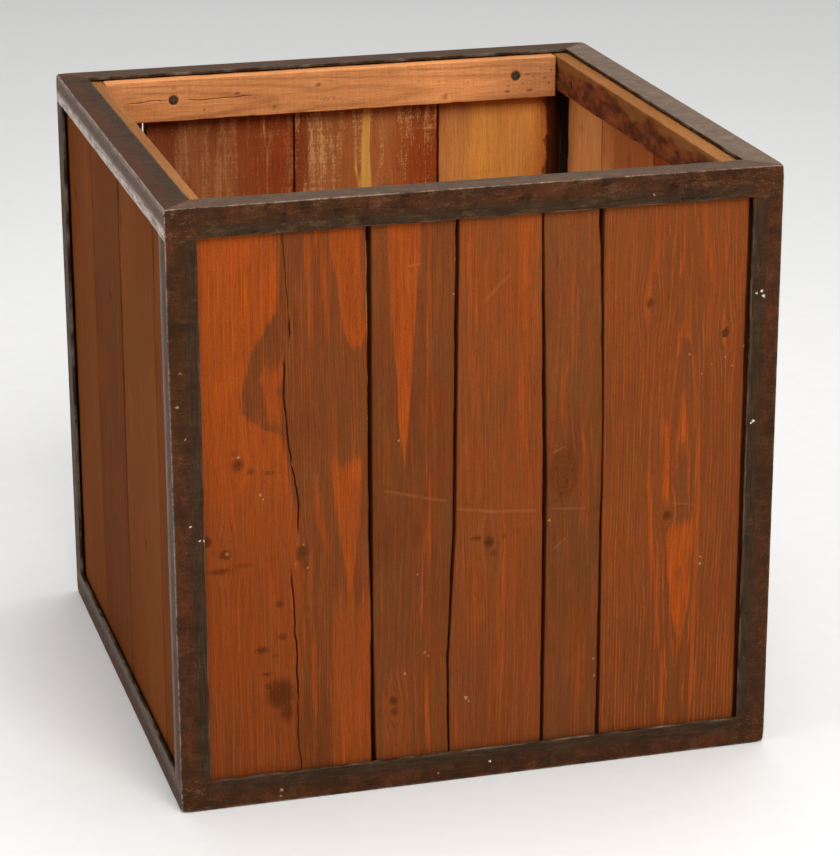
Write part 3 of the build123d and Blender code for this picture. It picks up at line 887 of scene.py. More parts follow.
def batten(node, length, width, face, seed, slot, group, crack=None, step=(3.0, 3.0)):
    """Lays a batten or slat over its CAD node. group is the node that holds its screws."""
    solid = Solid(node)
    low, high = solid.low, solid.high
    near = high[face[0]] if face[1] > 0 else low[face[0]]
    heads = [
        (a, w) for a, w in screw_heads(group, length, width, face[0], near)
        if low[length] < a < high[length] and low[width] < w < high[width]
    ]
    plank = Plank(node, length, width, face, step, crack, screws=heads)
    figure = batten_figure(node, seed, BATTEN_TONES.get(node) or SLAT_TONES[int(node[-1]) - 1], width)
    if node == "top_batten_back":
        right = max(heads)
        figure.marks += [(right[1] + w, right[0] + a, tall, wide, 0.6) for a, w, wide, tall in SCREW_DIRT]
    values = wood_values(plank, figure, seed)
    relief = wood_relief(plank, seed, waviness=0.3, ragged=0.5)
    if crack is not None:
        relief = open_cracks(plank, BACK_BATTEN_STRANDS, values, relief, 1.5, 0.9)
    values["mark"] = np.maximum(values["mark"], 0.45 * np.clip(plank.screw_dishes() / SCREW_DISH[2], 0, 1))
    values["bark"] = np.zeros_like(plank.along)
    if node == "top_batten_right":
        noise = Noise(77)
        values["bark"] = bark_face(plank, noise, low[width])
        relief = relief + values["bark"] * (0.7 + 0.9 * noise.rough(plank.along / 20, plank.across / 12))
    finish_piece(plank.build(np.clip(relief, 0, None), values, "timber"), node, slot)


def bark_face(plank, noise, foot):
    """How much bark is left on a batten's face: all over it, up to a wavering line near its top."""
    wander = 9 * noise(plank.along / 60)
    height = plank.across - foot + wander + 5 * noise(plank.along / 17, plank.across / 12)
    return plank.on_face * (1 - smooth(25, 32, height))


def battens_and_floor():
    inward = {"back": (X, (Y, -1)), "front": (X, (Y, 1)), "left": (Y, (X, 1)), "right": (Y, (X, -1))}
    for i, (wall, (length, face)) in enumerate(inward.items()):
        crack = jagged(BACK_BATTEN_CRACK, 0.5, 6) if wall == "back" else None
        golden, rough = ("raw_pine_batten", "top_batten_screws"), ("rough_sawn_pine", "bottom_batten_screws")
        batten(f"top_batten_{wall}", length, Z, face, 70 + i, *golden, crack=crack)
        batten(f"bottom_batten_{wall}", length, Z, face, 80 + i, *rough, step=COARSE)
    for number in range(1, 6):
        slat = f"floor_slat_{number}"
        batten(slat, Y, X, (Z, 1), 90 + number, "rough_sawn_pine", "floor_screws", step=COARSE)


# ---- Steel frame ----

ROOT_R = 2.0  # inside the heel
TOE_R = 1.2
ARRIS_R = 1.5  # of the frame's ground outer edges
CORNER_R = 3.6  # of its ground corners
BAR_ENDS = [0, 0.8, 1.8, 3.2, 5.0, 7.5]  # places of the rings of points nearest to a bar's end
BAR_RINGS = 236  # rings between those of its two ends


def angle_section(square_toes):
    """Points round an angle's section from its heel, as (along one leg, along the other leg, normal).

    With square toes, the toe's outer edge is sharp, as where a post is welded against it.
    """
    start, root = LEG - TOE_R, STEEL + ROOT_R
    turns = [(math.sin(a), math.cos(a)) for a in TURN_STEPS]
    steps = [0.4, 0.8, 1.2, 1.6, 2.2, 3.2, 5.0, 7.5, 10.0, 12.5, 15.0, 17.5, 20.0, 22.5, 25.0, 27.5, start]
    leg = [(s, 0.0, 0.0, -1.0) for s in steps]
    if square_toes:
        leg += [(LEG - TOE_R / 2, 0.0, 0.0, -1.0), (LEG, 0.0, 0.0, -1.0), (LEG, TOE_R / 2, 0.0, 0.0)]
    else:
        leg += [(start + TOE_R * s, TOE_R - TOE_R * c, s, -c) for s, c in turns]
    leg += [(LEG, TOE_R, 0.0 if square_toes else 1.0, 0.0), (LEG, STEEL - TOE_R, 1.0, 0.0)]
    leg += [(start + TOE_R * c, STEEL - TOE_R + TOE_R * s, c, s) for s, c in turns]
    leg += [(s, STEEL, 0.0, 1.0) for s in (start, 24.0, 18.0, 12.0, root)]
    bend = [(root - ROOT_R * s, root - ROOT_R * c, s, c) for s, c in turns]
    other = [(b, a, nb, na) for a, b, na, nb in reversed(leg)]
    return np.array([(0.0, 0.0, -0.7, -0.7)] + leg + bend + other)


def inside_envelope(points):
    """Points moved onto the ground edges and corners of the frame where they would stick out of them."""
    nearest = np.minimum(points, SIDE - points)
    towards = np.where(points < SIDE / 2, 1.0, -1.0)
    corner = np.sqrt((nearest**2).sum(-1))
    radius = (ARRIS_R + (CORNER_R - ARRIS_R) * (1 - smooth(2, 12, corner)))[..., None]
    past = np.clip(radius - nearest, 0, None)
    far = np.sqrt((past**2).sum(-1, keepdims=True))
    pulled = np.where(far > radius, past * radius / np.maximum(far, 1e-6), past)
    moved = np.where(past > 0, radius - pulled, nearest)
    return points + towards * (moved - nearest)


def steel_values(points, along, across, leg, seed, silver, sooty, dust_and_sheen):
    """The named values that the steel material reads."""
    gaps = np.sort(np.minimum(points, SIDE - points), -1)
    arris = np.clip(1 - np.hypot(gaps[..., 0], gaps[..., 1]) / 1.7, 0, 1)
    corner = 1 - smooth(24, 44, gaps[..., 2])
    strip = smooth(14, 24, across) * (1 - 0.4 * smooth(28, 29.5, across)) + 0.22 * smooth(8, 2, across) + 0.12
    return {
        "bar": np.stack([along + 700.0 * seed, across, 60.0 * leg + 0 * along], -1),
        "across": across,
        "arris": arris,
        "toe": np.clip(1 - np.abs(LEG - across) / 1.6, 0, 1) * (1 - corner),
        "weld": corner,
        # Silver on the left faces: partly bare metal from rubbing, partly a painted reflection of the bright
        # surroundings.
        "rub_and_reflection": np.clip(silver * strip, 0, 1) * (points[..., X] < 1.0),
        "sooty": np.full_like(across, sooty) * (1 - 0.6 * corner),
        # Dust and a painted sheen on the top faces.
        "dust_and_sheen": dust_and_sheen * (points[..., Z] > SIDE - 1.0),
    }


def steel_bar(node, run, legs, origin, mitred, seed):
    """A bar of angle: run is its axis, legs are the two legs' (axis, way), and mitred bars are cut at 45 degrees."""
    (axis_a, way_a), (axis_b, way_b) = legs
    between = np.linspace(10, SIDE - 10, BAR_RINGS)
    steps = np.array([*BAR_ENDS, *between, *(SIDE - e for e in reversed(BAR_ENDS))])
    from_end = np.minimum(steps, SIDE - steps)[:, None]
    square = (1 - smooth(LEG, LEG + 2.0, from_end)) if mitred else 0 * from_end
    rounded, squared = angle_section(False).T, angle_section(True).T
    a, b, normal_a, normal_b = (r + (q - r) * square for r, q in zip(rounded, squared))
    start = rounded[0] if mitred else np.full_like(rounded[0], LEG)
    along = start + (SIDE - 2 * start) * (steps / SIDE)[:, None]
    points, normals = np.zeros((2, *along.shape, 3))
    points[..., run] = along
    points[..., axis_a], points[..., axis_b] = origin[axis_a] + way_a * a, origin[axis_b] + way_b * b
    normals[..., axis_a], normals[..., axis_b] = way_a * normal_a, way_b * normal_b
    dents, place = Noise(5), np.moveaxis(points, -1, 0)
    cut = 0.16 + 0.10 * dents(*place / 26.0) + 0.04 * dents(*place / 5.0)
    wear = RUBBED_AND_REFLECTION.get(node, 0.0), SOOTY.get(node, 0.3), TOP_DUST_AND_SHEEN.get(node, 0.0)
    values = steel_values(points, along, np.maximum(a, b), (a < b).astype(float), seed, *wear)
    points = inside_envelope(points - normals * cut[..., None])
    finish_piece(make_mesh(f"{node}_steel", points, values, sharp=40.0), node, "weathered_steel")


# How far the left faces are worn to bare metal by rubbing and carry a painted reflection, how black the bars
# are and how much dust and painted sheen lies on their top faces; the others get 0, 0.3 and 0
RUBBED_AND_REFLECTION = {"top_rail_left": 1.0, "bottom_rail_left": 0.15, "post_front_left": 0.22}
SOOTY = {"top_rail_front": 0.75}
TOP_DUST_AND_SHEEN = {"top_rail_right": 0.75, "top_rail_front": 0.3, "top_rail_back": 0.15}


def steel_frame():
    seeds = itertools.count(1)
    for side_x, x, way_x in (("left", 0.0, 1), ("right", SIDE, -1)):
        for side_y, y, way_y in (("front", 0.0, 1), ("back", SIDE, -1)):
            legs = (X, way_x), (Y, way_y)
            steel_bar(f"post_{side_y}_{side_x}", Z, legs, (x, y, 0), False, next(seeds))
    sides = ("front", X, Y, 1), ("back", X, Y, -1), ("left", Y, X, 1), ("right", Y, X, -1)
    for ring, z, way_z in (("top", SIDE, -1), ("bottom", 0.0, 1)):
        for side, run, inward, way in sides:
            origin = [0.0, 0.0, z]
            origin[inward] = 0.0 if way > 0 else SIDE
            steel_bar(f"{ring}_rail_{side}", run, ((inward, way), (Z, way_z)), origin, True, next(seeds))


# ---- Materials ----


class Value:
    """A number or a vector in a material's nodes, with arithmetic."""

    def __init__(self, sketch, socket):
        self.sketch, self.socket = sketch, socket

    def __add__(self, other):
        return self.sketch.maths("ADD", self, other)

    def __sub__(self, other):
        return self.sketch.maths("SUBTRACT", self, other)

    def __rsub__(self, other):
        return self.sketch.maths("SUBTRACT", other, self)

    def __mul__(self, other):
        return self.sketch.maths("MULTIPLY", self, other)

    __radd__, __rmul__ = __add__, __mul__


SPECK_NOISE, SCRATCH_NOISE = (800.0, 2.0), (500.0, 3.0)  # scale and detail of their ragged edges
SPECK_RAGGED, SCRATCH_RAGGED = 0.0044, 0.0012  # how ragged those are, in metres
SPECK_FADE = (1.05, 0.45)  # where a speck begins and is at its palest, as shares of its radius
SCRATCH_FADE = 0.2  # share of a scratch's length over which each end fades


class Sketch:
    """One material and short ways to add nodes to it."""

    def __init__(self, name):
        self.material = bpy.data.materials.new(name)
        self.material.use_nodes = True
        self.nodes, self.links = self.material.node_tree.nodes, self.material.node_tree.links
        self.shader = self.nodes["Principled BSDF"]

    def wire(self, socket, value):
        if isinstance(value, Value):
            self.links.new(value.socket, socket)
        else:
            socket.default_value = value

    def add(self, kind, inputs, output=0, **settings):
        node = self.nodes.new(kind)
        for key, setting in settings.items():
            setattr(node, key, setting)
        for key, value in inputs.items():
            self.wire(node.inputs[key], value)
        return Value(self, node.outputs[output])

    def maths(self, operation, *values):
        return self.add("ShaderNodeMath", dict(enumerate(values)), operation=operation)

    def number(self, name):
        return self.add("ShaderNodeAttribute", {}, output="Fac", attribute_name=name)

    def vector(self, name):
        return self.add("ShaderNodeAttribute", {}, output="Vector", attribute_name=name)

    def place(self):
        """The place in the row frame, in metres."""
        return self.add("ShaderNodeTexCoord", {}, output="Object")

    def vector_maths(self, operation, *values, output=0):
        return self.add("ShaderNodeVectorMath", dict(enumerate(values)), output, operation=operation)

    def scaled(self, vector, scale):
        """A vector stretched by one scale, or by one for each axis."""
        return self.vector_maths("MULTIPLY", vector, scale if isinstance(scale, tuple) else (scale,) * 3)

    def noise(self, vector, scale, detail=2.0, roughness=0.5):
        """Noise from 0 to 1 over a stretched vector."""
        inputs = {"Vector": self.scaled(vector, scale), "Scale": 1.0, "Detail": detail, "Roughness": roughness}
        return self.add("ShaderNodeTexNoise", inputs)

    def noises(self, vector, **shapes):
        """Several noises over one vector, each given by its scale, detail and roughness."""
        return SimpleNamespace(**{name: self.noise(vector, *shape) for name, shape in shapes.items()})

    def step(self, value, low, high, to_low=0.0, to_high=1.0):
        inputs = {"Value": value, "From Min": low, "From Max": high, "To Min": to_low, "To Max": to_high}
        return self.add("ShaderNodeMapRange", inputs, interpolation_type="SMOOTHSTEP")

    def mix(self, amount, first, second):
        first, second = ((c if isinstance(c, Value) else rgba(c)) for c in (first, second))
        inputs = {0: amount, 6: first, 7: second}
        return self.add("ShaderNodeMix", inputs, output=2, data_type="RGBA", clamp_factor=True)

    def shade(self, colour, factor):
        """A colour made lighter or darker by a number."""
        colour = colour if isinstance(colour, Value) else rgba(colour)[:3]
        return self.add("ShaderNodeVectorMath", {0: colour, 3: factor}, operation="SCALE")

    def specks(self, colour, specks):
        """Adds specks on the front, given by x, height, radius and colour."""
        place = self.place()
        front, flat = self.on_front(place), self.scaled(place, (1.0, 0.0, 1.0))
        ragged = (self.noise(place, *SPECK_NOISE) - 0.5) * SPECK_RAGGED
        for x, z, radius, tone in specks:
            centre = to_row([x, 0.0, z])
            gap = self.vector_maths("DISTANCE", flat, (centre[X], 0.0, centre[Z]), output="Value")
            spot = self.step(gap + ragged, *(radius * MM * share for share in SPECK_FADE))
            colour = self.mix(spot * front, colour, tone)
        return colour

    def scratches(self, colour, scratches):
        """Adds scratches on the front: each has its ends as x and height, a half width and a strength."""
        place = self.place()
        front = self.on_front(place)
        ragged = (self.noise(place, *SCRATCH_NOISE) - 0.5) * SCRATCH_RAGGED
        for start, end, half, amount in scratches:
            first, last = (to_row([x, 0.0, z]) for x, z in (start, end))
            length = float(np.linalg.norm(last - first))
            run = (last - first) / length
            offset = self.vector_maths("SUBTRACT", place, tuple(first))
            ways = tuple(run), (-run[2], 0.0, run[0])
            along, off = (self.vector_maths("DOT_PRODUCT", offset, way, output="Value") for way in ways)
            line = self.step(self.maths("ABSOLUTE", off + ragged), half * MM, 0.0)
            fade = length * SCRATCH_FADE
            ends = self.step(along, 0.0, fade) * self.step(along, length, length - fade)
            colour = self.mix(line * ends * front * amount, colour, SCRATCH_COLOUR)
        return colour

    def on_front(self, place):
        """1 on the front wall, and 0 behind it."""
        split = self.add("ShaderNodeSeparateXYZ", {0: place}, output="Y")
        return self.step(split, float(CORNER[Y]) + 0.010, float(CORNER[Y]) + 0.008)

    def finish(self, colour, roughness, height, distance, **constants):
        bump = self.add("ShaderNodeBump", {"Height": height, "Distance": distance, "Strength": 1.0}, output="Normal")
        for key, value in {"Base Color": colour, "Roughness": roughness, "Normal": bump}.items():
            self.wire(self.shader.inputs[key], value)
        for key, value in constants.items():
            self.shader.inputs[key.replace("_", " ")].default_value = value
        return self.material


BARE_ORANGE = (154, 69, 23)


def about(base, *terms):
    """A base plus each noise's swing about its middle, times an amount."""
    for noise, amount in terms:
        base = base + (noise - 0.5) * amount
    return base


# In what follows, s is a material's sketch and n holds its noises.


def growth_lines(s, ring, low=0.35, high=0.95):
    """A thin line for every growth ring, from 0 to 1."""
    away = s.maths("ABSOLUTE", s.maths("FRACT", ring) - 0.5) * 2.0
    return s.step(away, low, high)


def worn_stain(s, n, inside):
    """How far the stain has worn off a board, and how strongly its growth lines show."""
    lines = growth_lines(s, about(s.number("ring"), (n.cloud, 1.2), (n.speckle, 0.35)), 0.50, 0.96)
    drawn = lines * (s.number("lines") * s.step(n.streak + (n.cloud - 0.5) * 1.0, 0.34, 0.70, 0.1, 1.35))
    wobble = (n.drift - 0.5) * 13.0 + (n.streak - 0.5) * 12.0 + (n.fibre - 0.5) * 6.0
    exposed = s.step(s.number("bare") + wobble, -3.0, 3.5) * s.number("bareness")
    faint = s.step(n.streak + (n.drift - 0.5) * 0.5, 0.54, 0.80) * 0.34
    covered = s.maths("MAXIMUM", drawn, faint) * (1.0 - exposed)
    worn = exposed * (1.0 - drawn * 0.5) * (1.0 - (n.cloud - 0.42) * 1.1) + covered
    return worn * (1.0 - inside * 0.75), drawn


def stain_colour(s, n, inside, worn):
    """Brown film, olive in places, over orange wood."""
    olive = s.mix(s.step(n.cloud, 0.40, 0.66) * 0.55 * (1.0 - inside), s.vector("tint"), (92, 57, 30))
    film = s.mix(s.step(n.patch, 0.50, 0.70) * 0.4 * (1.0 - inside), olive, (124, 57, 24))
    film = s.shade(film, about(1.0, (n.streak, 0.5), (n.fibre, 0.8), (n.cloud, 0.5), (n.speckle, 0.8)))
    orange = s.shade(BARE_ORANGE, about(1.0, (n.fibre, 1.1), (n.streak, 0.9), (n.speckle, 0.9)))
    return s.mix(worn, film, orange)


def old_finish(s, n, colour):
    """A colour with the inside's pale flecks and bright splits added, and how pale the flecks are."""
    fleck = about(n.dash, (n.column, 1.3), (n.streak, 0.35), (n.saw, 0.35))
    fleck = s.step(fleck, 0.50, 0.72) * s.number("flecks")
    colour = s.mix(fleck * 0.72, colour, (226, 172, 112))
    split = s.step(s.number("split") + (n.speckle - 0.5) * 2.0, -0.8, 1.4)
    return s.mix(split * 0.9, colour, s.mix(n.streak, (206, 140, 58), (236, 184, 96))), fleck


def knots_dirt_and_shade(s, n, colour):
    """A colour with knots, smudges, painted shade along the board's edges and dust added, and how dark the knots and
    smudges are; the smudges carry painted shade in the cracks.
    """
    knot_line = growth_lines(s, s.number("ring"))
    smudge = s.step(s.number("mark") * about(1.0, (n.speckle, 2.4), (n.dash, 1.8)), 0.20, 0.56) * 0.62
    dark = s.maths("MAXIMUM", s.number("knot") * (0.20 + knot_line * 0.50), smudge)
    # Painted shade along the board's long edges, where they meet neighbouring boards and the frame.
    edge = s.number("edge") * s.step(n.speckle, 0.35, 0.75) * 0.45
    colour = s.mix(s.maths("MAXIMUM", dark, edge), colour, (46, 25, 14))
    dust = s.step(n.grime + (n.cloud - 0.5) * 0.4, 0.64, 0.78) * 0.34
    return s.mix(dust, colour, (164, 112, 70)), dark


def stained_board():
    """Pine under a worn brown stain that has soaked away to orange in streaks, with old finishes on the inside."""
    s = Sketch("stained_board")
    inside = s.number("inside")
    n = s.noises(
        s.vector("grain"),
        fibre=((1.1, 0.022, 0.7), 3.0, 0.65),
        streak=((0.42, 0.007, 0.2), 3.0, 0.6),
        drift=((0.15, 0.010, 0.1), 3.0, 0.6),
        cloud=((0.05, 0.017, 0.05), 5.0, 0.68),
        patch=((0.026, 0.011, 0.05), 3.0, 0.55),
        speckle=((0.75, 0.5, 0.8), 4.0, 0.8),
        pore=((0.85, 0.085, 0.7), 3.0, 0.75),
        dash=((0.42, 0.23, 0.5), 4.0, 0.85),
        column=((0.075, 0.009, 0.1), 3.0, 0.65),
        saw=((0.015, 0.30, 0.1), 2.0, 0.6),
        grime=((0.55, 0.5, 0.6), 3.0, 0.85),
    )
    worn, drawn = worn_stain(s, n, inside)
    pore = s.step(n.pore, 0.55, 0.72)
    colour = s.mix(pore * 0.34, stain_colour(s, n, inside, worn), (60, 30, 15))
    colour, fleck = old_finish(s, n, colour)
    colour, dark = knots_dirt_and_shade(s, n, colour)
    colour = s.specks(s.scratches(colour, SCRATCHES), BOARD_SPECKS)
    rough = about(0.72, (n.cloud, 0.3), (n.fibre, 0.2)) + worn * 0.06 + fleck * 0.1
    height = n.fibre * 0.5 + drawn * 0.5 + n.speckle * 0.5 + fleck * 0.4 - dark * 0.4 - pore * 0.3
    return s.finish(colour, rough, height, 0.00040, Specular_IOR_Level=0.01)


def pine_dirt_and_shade(s, n, colour):
    """A colour with dirt in its pores, marks and knots added, and how dark they are; the marks hold painted shade in
    the cracks and darken the screw dishes.
    """
    pores = s.step(n.speckle + (n.cloud - 0.5) * 0.8, 0.56, 0.70) * 0.6
    mark = s.step(s.number("mark") + (n.speckle - 0.5) * 0.5, 0.12, 0.60) * 0.85
    dirt = s.maths("MAXIMUM", pores * s.step(n.streak, 0.42, 0.62), mark)
    dark = s.maths("MAXIMUM", dirt, s.number("knot") * 0.5)
    return s.mix(dark, colour, (66, 34, 18)), dark


def raw_pine():
    """Sawn pine that has gone golden, with fuzzy saw marks, dirt in its pores and bark where it is left on."""
    s = Sketch("raw_pine_batten")
    n = s.noises(
        s.vector("grain"),
        fibre=((0.85, 0.035, 0.8), 4.0, 0.7),
        streak=((0.30, 0.008, 0.3), 3.0, 0.6),
        cloud=((0.05, 0.012, 0.05), 4.0, 0.65),
        speckle=((0.6, 0.30, 0.7), 4.0, 0.8),
        saw=((0.03, 0.42, 0.1), 2.0, 0.6),
        flake=((0.07, 0.028, 0.1), 4.0, 0.6),
    )
    lines = growth_lines(s, s.number("ring") + (n.speckle - 0.5) * 0.4, 0.45, 0.95)
    bright = about(1.0, (n.streak, 0.6), (n.fibre, 1.1), (n.saw, 0.35), (n.cloud, 0.45), (n.speckle, 0.7))
    lines = lines * s.number("lines") * s.step(n.cloud, 0.35, 0.65, 0.4, 1.3)
    colour = s.mix(lines, s.shade(s.vector("tint"), bright), (140, 72, 34))
    colour, dark = pine_dirt_and_shade(s, n, colour)
    bark = s.number("bark")
    skin = s.mix(s.step(n.flake, 0.38, 0.62), (74, 32, 16), (138, 70, 34))
    colour = s.mix(bark * 0.9, colour, s.shade(skin, 1.0 + (n.fibre - 0.5) * 0.5))
    rough = 0.66 + (n.fibre - 0.5) * 0.3 + bark * 0.1
    height = n.fibre * 0.6 + n.saw * 0.35 + n.speckle * 0.4 + bark * n.flake * 1.2 - dark * 0.3
    return s.finish(colour, rough, height, 0.0005, Specular_IOR_Level=0.12)


def rough_pine():
    """Rough sawn pine of the floor and the bottom battens, greyed by damp soil."""
    s = Sketch("rough_sawn_pine")
    n = s.noises(
        s.vector("grain"),
        fibre=((0.9, 0.03, 0.8), 3.0, 0.65),
        streak=((0.28, 0.008, 0.3), 3.0, 0.55),
        stain=((0.03, 0.015, 0.05), 4.0, 0.6),
        saw=((0.02, 0.4, 0.1), 1.0, 0.4),
        speckle=((0.9, 0.5, 0.9), 2.0, 0.7),
    )
    colour = s.shade(s.vector("tint"), about(1.0, (n.streak, 0.45), (n.fibre, 0.45), (n.saw, 0.2)))
    colour = s.mix(growth_lines(s, s.number("ring")) * s.number("lines") * 0.7, colour, (120, 72, 40))
    colour = s.mix(s.step(n.stain, 0.45, 0.75) * 0.5, colour, (92, 68, 50))
    dark = s.maths("MAXIMUM", s.number("mark") * (0.8 + (n.speckle - 0.5) * 0.8), s.number("knot") * 0.55)
    height = n.fibre * 0.6 + n.saw * 0.6 + n.speckle * 0.3 - dark * 0.3
    rough = 0.7 + (n.fibre - 0.5) * 0.3
    return s.finish(s.mix(dark, colour, (50, 30, 20)), rough, height, 0.0006, Specular_IOR_Level=0.25)


STEEL_SHEEN = (0.80, 0.60, 0.45, 1.0)  # colour of what the oiled steel reflects at a grazing angle


def rolled_skin(s, n, weld):
    """Rust brown at the heel and dark mill scale towards the toes, apart from the ground welds, and how rusty."""
    rust = s.step(about(n.mottle, (n.broad, 0.6), (n.grit, 0.6)), 0.36, 0.70)
    brown = s.mix(rust, (58, 37, 23), (82, 45, 27))
    dark = s.mix(s.step(n.streak, 0.30, 0.75), (43, 32, 23), (68, 52, 37))
    scale = s.step(about(s.number("across"), (n.mottle, 14.0), (n.broad, 12.0), (n.grit, 5.0)), 13.0, 22.0)
    return s.mix(scale * 0.85 * (1.0 - weld), brown, dark), rust


def steel_dirt(s, n, colour, weld):
    """A colour with soot, smears, dust with a painted sheen on the top faces, and pale scuffs added, and how sooty it
    is.
    """
    black = s.step(n.blotch + (n.streak - 0.5) * 0.5, 0.50, 0.66)
    colour = s.mix(black * s.number("sooty"), colour, (26, 19, 15))
    smudge = s.step(n.smear + (n.grit - 0.5) * 0.35, 0.50, 0.68)
    colour = s.mix(smudge * s.number("sooty") * 0.42, colour, (118, 86, 58))
    # Dust and a painted sheen on the top faces.
    dust = s.number("dust_and_sheen") * about(0.75, (n.mottle, 1.2), (n.grit, 0.6))
    colour = s.mix(dust, colour, s.mix(n.mottle, (122, 100, 84), (138, 126, 112)))
    pale = s.step(about(n.grit, (n.mottle, 0.7), (n.streak, 0.3)), 0.62, 0.84)
    colour = s.mix(pale * 0.42, colour, (126, 102, 78))
    scuff = weld * s.step(n.ground + (n.grit - 0.5) * 0.5, 0.54, 0.78) * 0.45
    return s.mix(scuff, colour, (150, 124, 92)), black


def steel_wear(s, n, colour, weld):
    """A colour with the silvery left faces (bare metal and a painted reflection) and the edges (wear and a painted
    highlight) added, and how worn and highlit the edges are.
    """
    # Silver on the left faces: partly bare metal from rubbing, partly a painted reflection.
    silver = s.number("rub_and_reflection") * s.step(about(n.streak, (n.grit, 0.9), (n.mottle, 0.6)), 0.22, 0.66)
    colour = s.mix(silver, colour, (210, 194, 184))
    arris = s.number("arris")
    # The pale arrises and toes are partly worn metal and partly a painted highlight.
    worn_and_highlit = arris * s.step(about(n.mottle, (n.grit, 0.5), (n.broad, 0.6)), 0.36, 0.66)
    toe = s.number("toe") * s.step(n.streak, 0.40, 0.70)
    scuffed = arris * weld * s.step(n.ground + (n.grit - 0.5) * 0.5, 0.42, 0.60)
    worn = s.maths("MAXIMUM", s.maths("MAXIMUM", worn_and_highlit * 0.75, toe * 0.40), scuffed * 0.85)
    return s.mix(worn, colour, (162, 148, 130)), worn


def weathered_steel():
    """Rolled mild steel gone brown under old oil: dark mill scale at the toes, rust at the heel, ground welds."""
    s = Sketch("weathered_steel")
    weld = s.number("weld")
    drawn = s.noises(
        s.vector("bar"),
        broad=((0.009, 0.05, 0.05), 3.0, 0.6),
        streak=((0.03, 0.45, 0.3), 4.0, 0.65),
    )
    n = s.noises(
        s.place(),
        mottle=(75.0, 5.0, 0.68),
        blotch=(34.0, 5.0, 0.72),
        grit=(520.0, 3.0, 0.75),
        smear=((34.0, 110.0, 110.0), 4.0, 0.75),
        ground=((80.0, 200.0, 200.0), 4.0, 0.75),
    )
    n.broad, n.streak = drawn.broad, drawn.streak
    colour, rust = rolled_skin(s, n, weld)
    colour, black = steel_dirt(s, n, colour, weld)
    colour, worn = steel_wear(s, n, colour, weld)
    colour = s.specks(colour, STEEL_SPECKS)
    rough = 0.47 + (n.mottle - 0.5) * 0.4 + rust * 0.08 - worn * 0.10 + (n.grit - 0.5) * 0.2
    height = n.mottle * 0.5 + n.grit * 0.5 + n.streak * 0.15 - black * 0.2
    return s.finish(colour, rough, height, 0.0005, Metallic=0.12, Specular_IOR_Level=0.05, Specular_Tint=STEEL_SHEEN)


def screw_steel():
    """Dark phosphated screws with rubbed edges and a trace of rust."""
    s = Sketch("screw_steel")
    place = s.place()
    mottle = s.noise(place, 400.0, 3.0, 0.6)
    grit = s.noise(place, 1500.0, 2.0, 0.6)
    colour = s.mix(s.step(mottle, 0.4, 0.65), (70, 66, 60), (96, 78, 62))
    colour = s.mix(s.step(grit, 0.6, 0.75) * 0.5, colour, (150, 142, 130))
    rough = 0.42 + (mottle - 0.5) * 0.3
    return s.finish(colour, rough, mottle * 0.5 + grit * 0.5, 0.00015, Metallic=0.7)


def stage_floor():
    """A matt pale floor with a faint tooth."""
    s = Sketch("pale_floor")
    tooth = s.noise(s.place(), 40.0, 4.0, 0.6)
    colour = s.mix(tooth, (234, 234, 234), (240, 240, 240))
    return s.finish(colour, 0.75 + tooth * 0.1, tooth, 0.0002)


MAKERS = {
    "stained_board": stained_board,
    "raw_pine_batten": raw_pine,
    "rough_sawn_pine": rough_pine,
    "weathered_steel": weathered_steel,
    "screw_steel": screw_steel,
    "pale_floor": stage_floor,
}
made = {}


def material(name):
    if name not in made:
        made[name] = MAKERS[name]()
    return made[name]


def dress_screws():
    """The screws keep their CAD shape and get their finish."""
    for node in ("top_batten_screws", "bottom_batten_screws", "floor_screws"):
        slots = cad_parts[node].data.materials
        slots.clear()
        slots.append(material("screw_steel"))


# ---- Stage, light and camera ----

FLOOR_HALF, FLOOR_LINES, FLOOR_DROP = 14.0, 9, 0.0005
SKY = 0.55  # strength of the white surroundings
LAMPS = {  # place, size, power and colour
    "key": ((0.1, -2.5, 2.9), (1.7, 1.7), 80.0, (1.0, 0.98, 0.94)),
    "fill": ((-3.6, -0.8, 2.2), (1.6, 2.4), 26.0, (1.0, 0.98, 0.95)),
    "top": ((0.4, 0.6, 3.4), (2.0, 2.0), 40.0, (1.0, 1.0, 1.0)),
}
MIDDLE = (0.0, 0.0, 0.3)
EYE = (-0.7924, -2.9099, 1.2967)
AZIMUTH, DOWN, ROLL = 15.66, 18.877, -0.164  # degrees
LENS, SENSOR = 127.63, 36.0  # millimetres


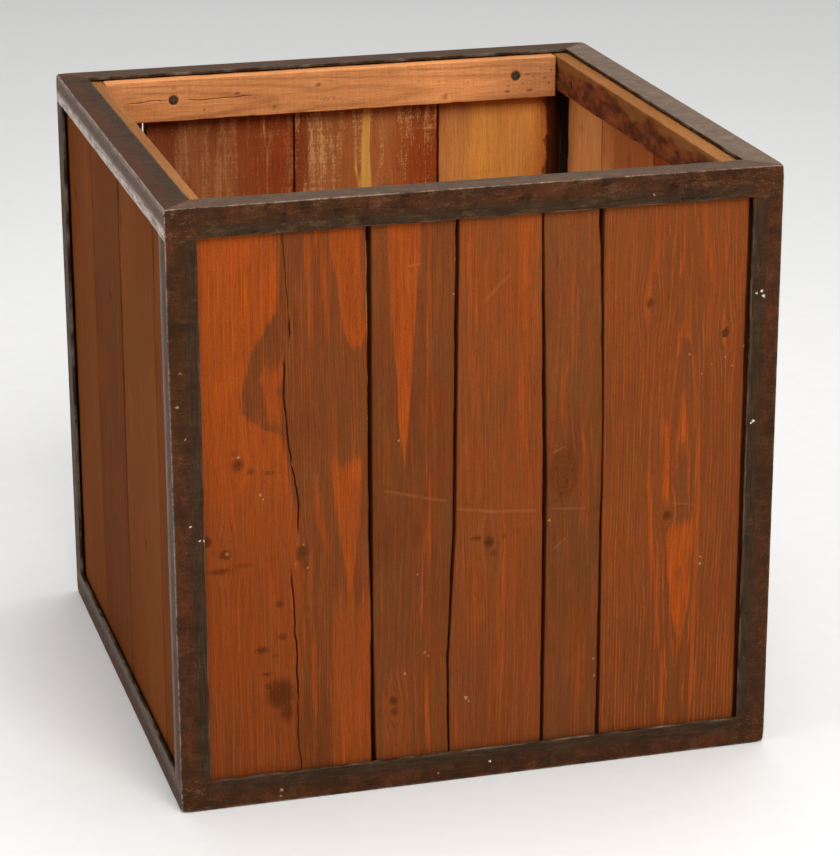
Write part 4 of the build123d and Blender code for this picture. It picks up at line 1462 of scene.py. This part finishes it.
def lay_floor():
    """A pale floor under the box."""
    steps = np.linspace(-FLOOR_HALF, FLOOR_HALF, FLOOR_LINES)
    verts = [(x, y, -FLOOR_DROP) for y in steps for x in steps]
    corners = [r * FLOOR_LINES + c for r in range(FLOOR_LINES - 1) for c in range(FLOOR_LINES - 1)]
    faces = [(k, k + 1, k + FLOOR_LINES + 1, k + FLOOR_LINES) for k in corners]
    mesh = bpy.data.meshes.new("studio_floor")
    mesh.from_pydata(verts, [], faces)
    mesh.materials.append(material("pale_floor"))
    floor = place_object("studio_floor", mesh)


def softbox(name, place, size, power, colour):
    """A rectangular lamp that points at the box's middle."""
    lamp = bpy.data.lights.new(name, "AREA")
    lamp.shape, lamp.size, lamp.size_y = "RECTANGLE", size[0], size[1]
    lamp.energy, lamp.color = power, colour
    box = place_object(name, lamp)
    box.location = place
    box.rotation_euler = (Vector(MIDDLE) - Vector(place)).to_track_quat("-Z", "Y").to_euler()


def light_stage():
    """White surroundings and three soft lamps."""
    world = bpy.data.worlds.new("studio")
    world.use_nodes = True
    sky = world.node_tree.nodes["Background"].inputs
    sky["Color"].default_value, sky["Strength"].default_value = (1.0, 1.0, 1.0, 1.0), SKY
    bpy.context.scene.world = world
    for name, lamp in LAMPS.items():
        softbox(name, *lamp)


def set_camera():
    """A camera where the photograph was taken from, fitted to the box's corners in it."""
    az, down, roll = (math.radians(a) for a in (AZIMUTH, DOWN, ROLL))
    look = Vector((math.sin(az) * math.cos(down), math.cos(az) * math.cos(down), -math.sin(down)))
    right = Vector((math.cos(az), -math.sin(az), 0.0))
    up = right.cross(look)
    right, up = right * math.cos(roll) + up * math.sin(roll), up * math.cos(roll) - right * math.sin(roll)
    turn = Matrix((right, up, -look)).transposed().to_4x4()
    camera = bpy.data.cameras.new("camera")
    camera.lens, camera.sensor_width = LENS, SENSOR
    eye = place_object("camera", camera)
    eye.matrix_world = Matrix.Translation(EYE) @ turn
    bpy.context.scene.camera = eye
    bpy.context.scene.view_settings.view_transform = "Standard"


front_wall()
other_walls()
battens_and_floor()
steel_frame()
dress_screws()
lay_floor()
light_stage()
set_camera()
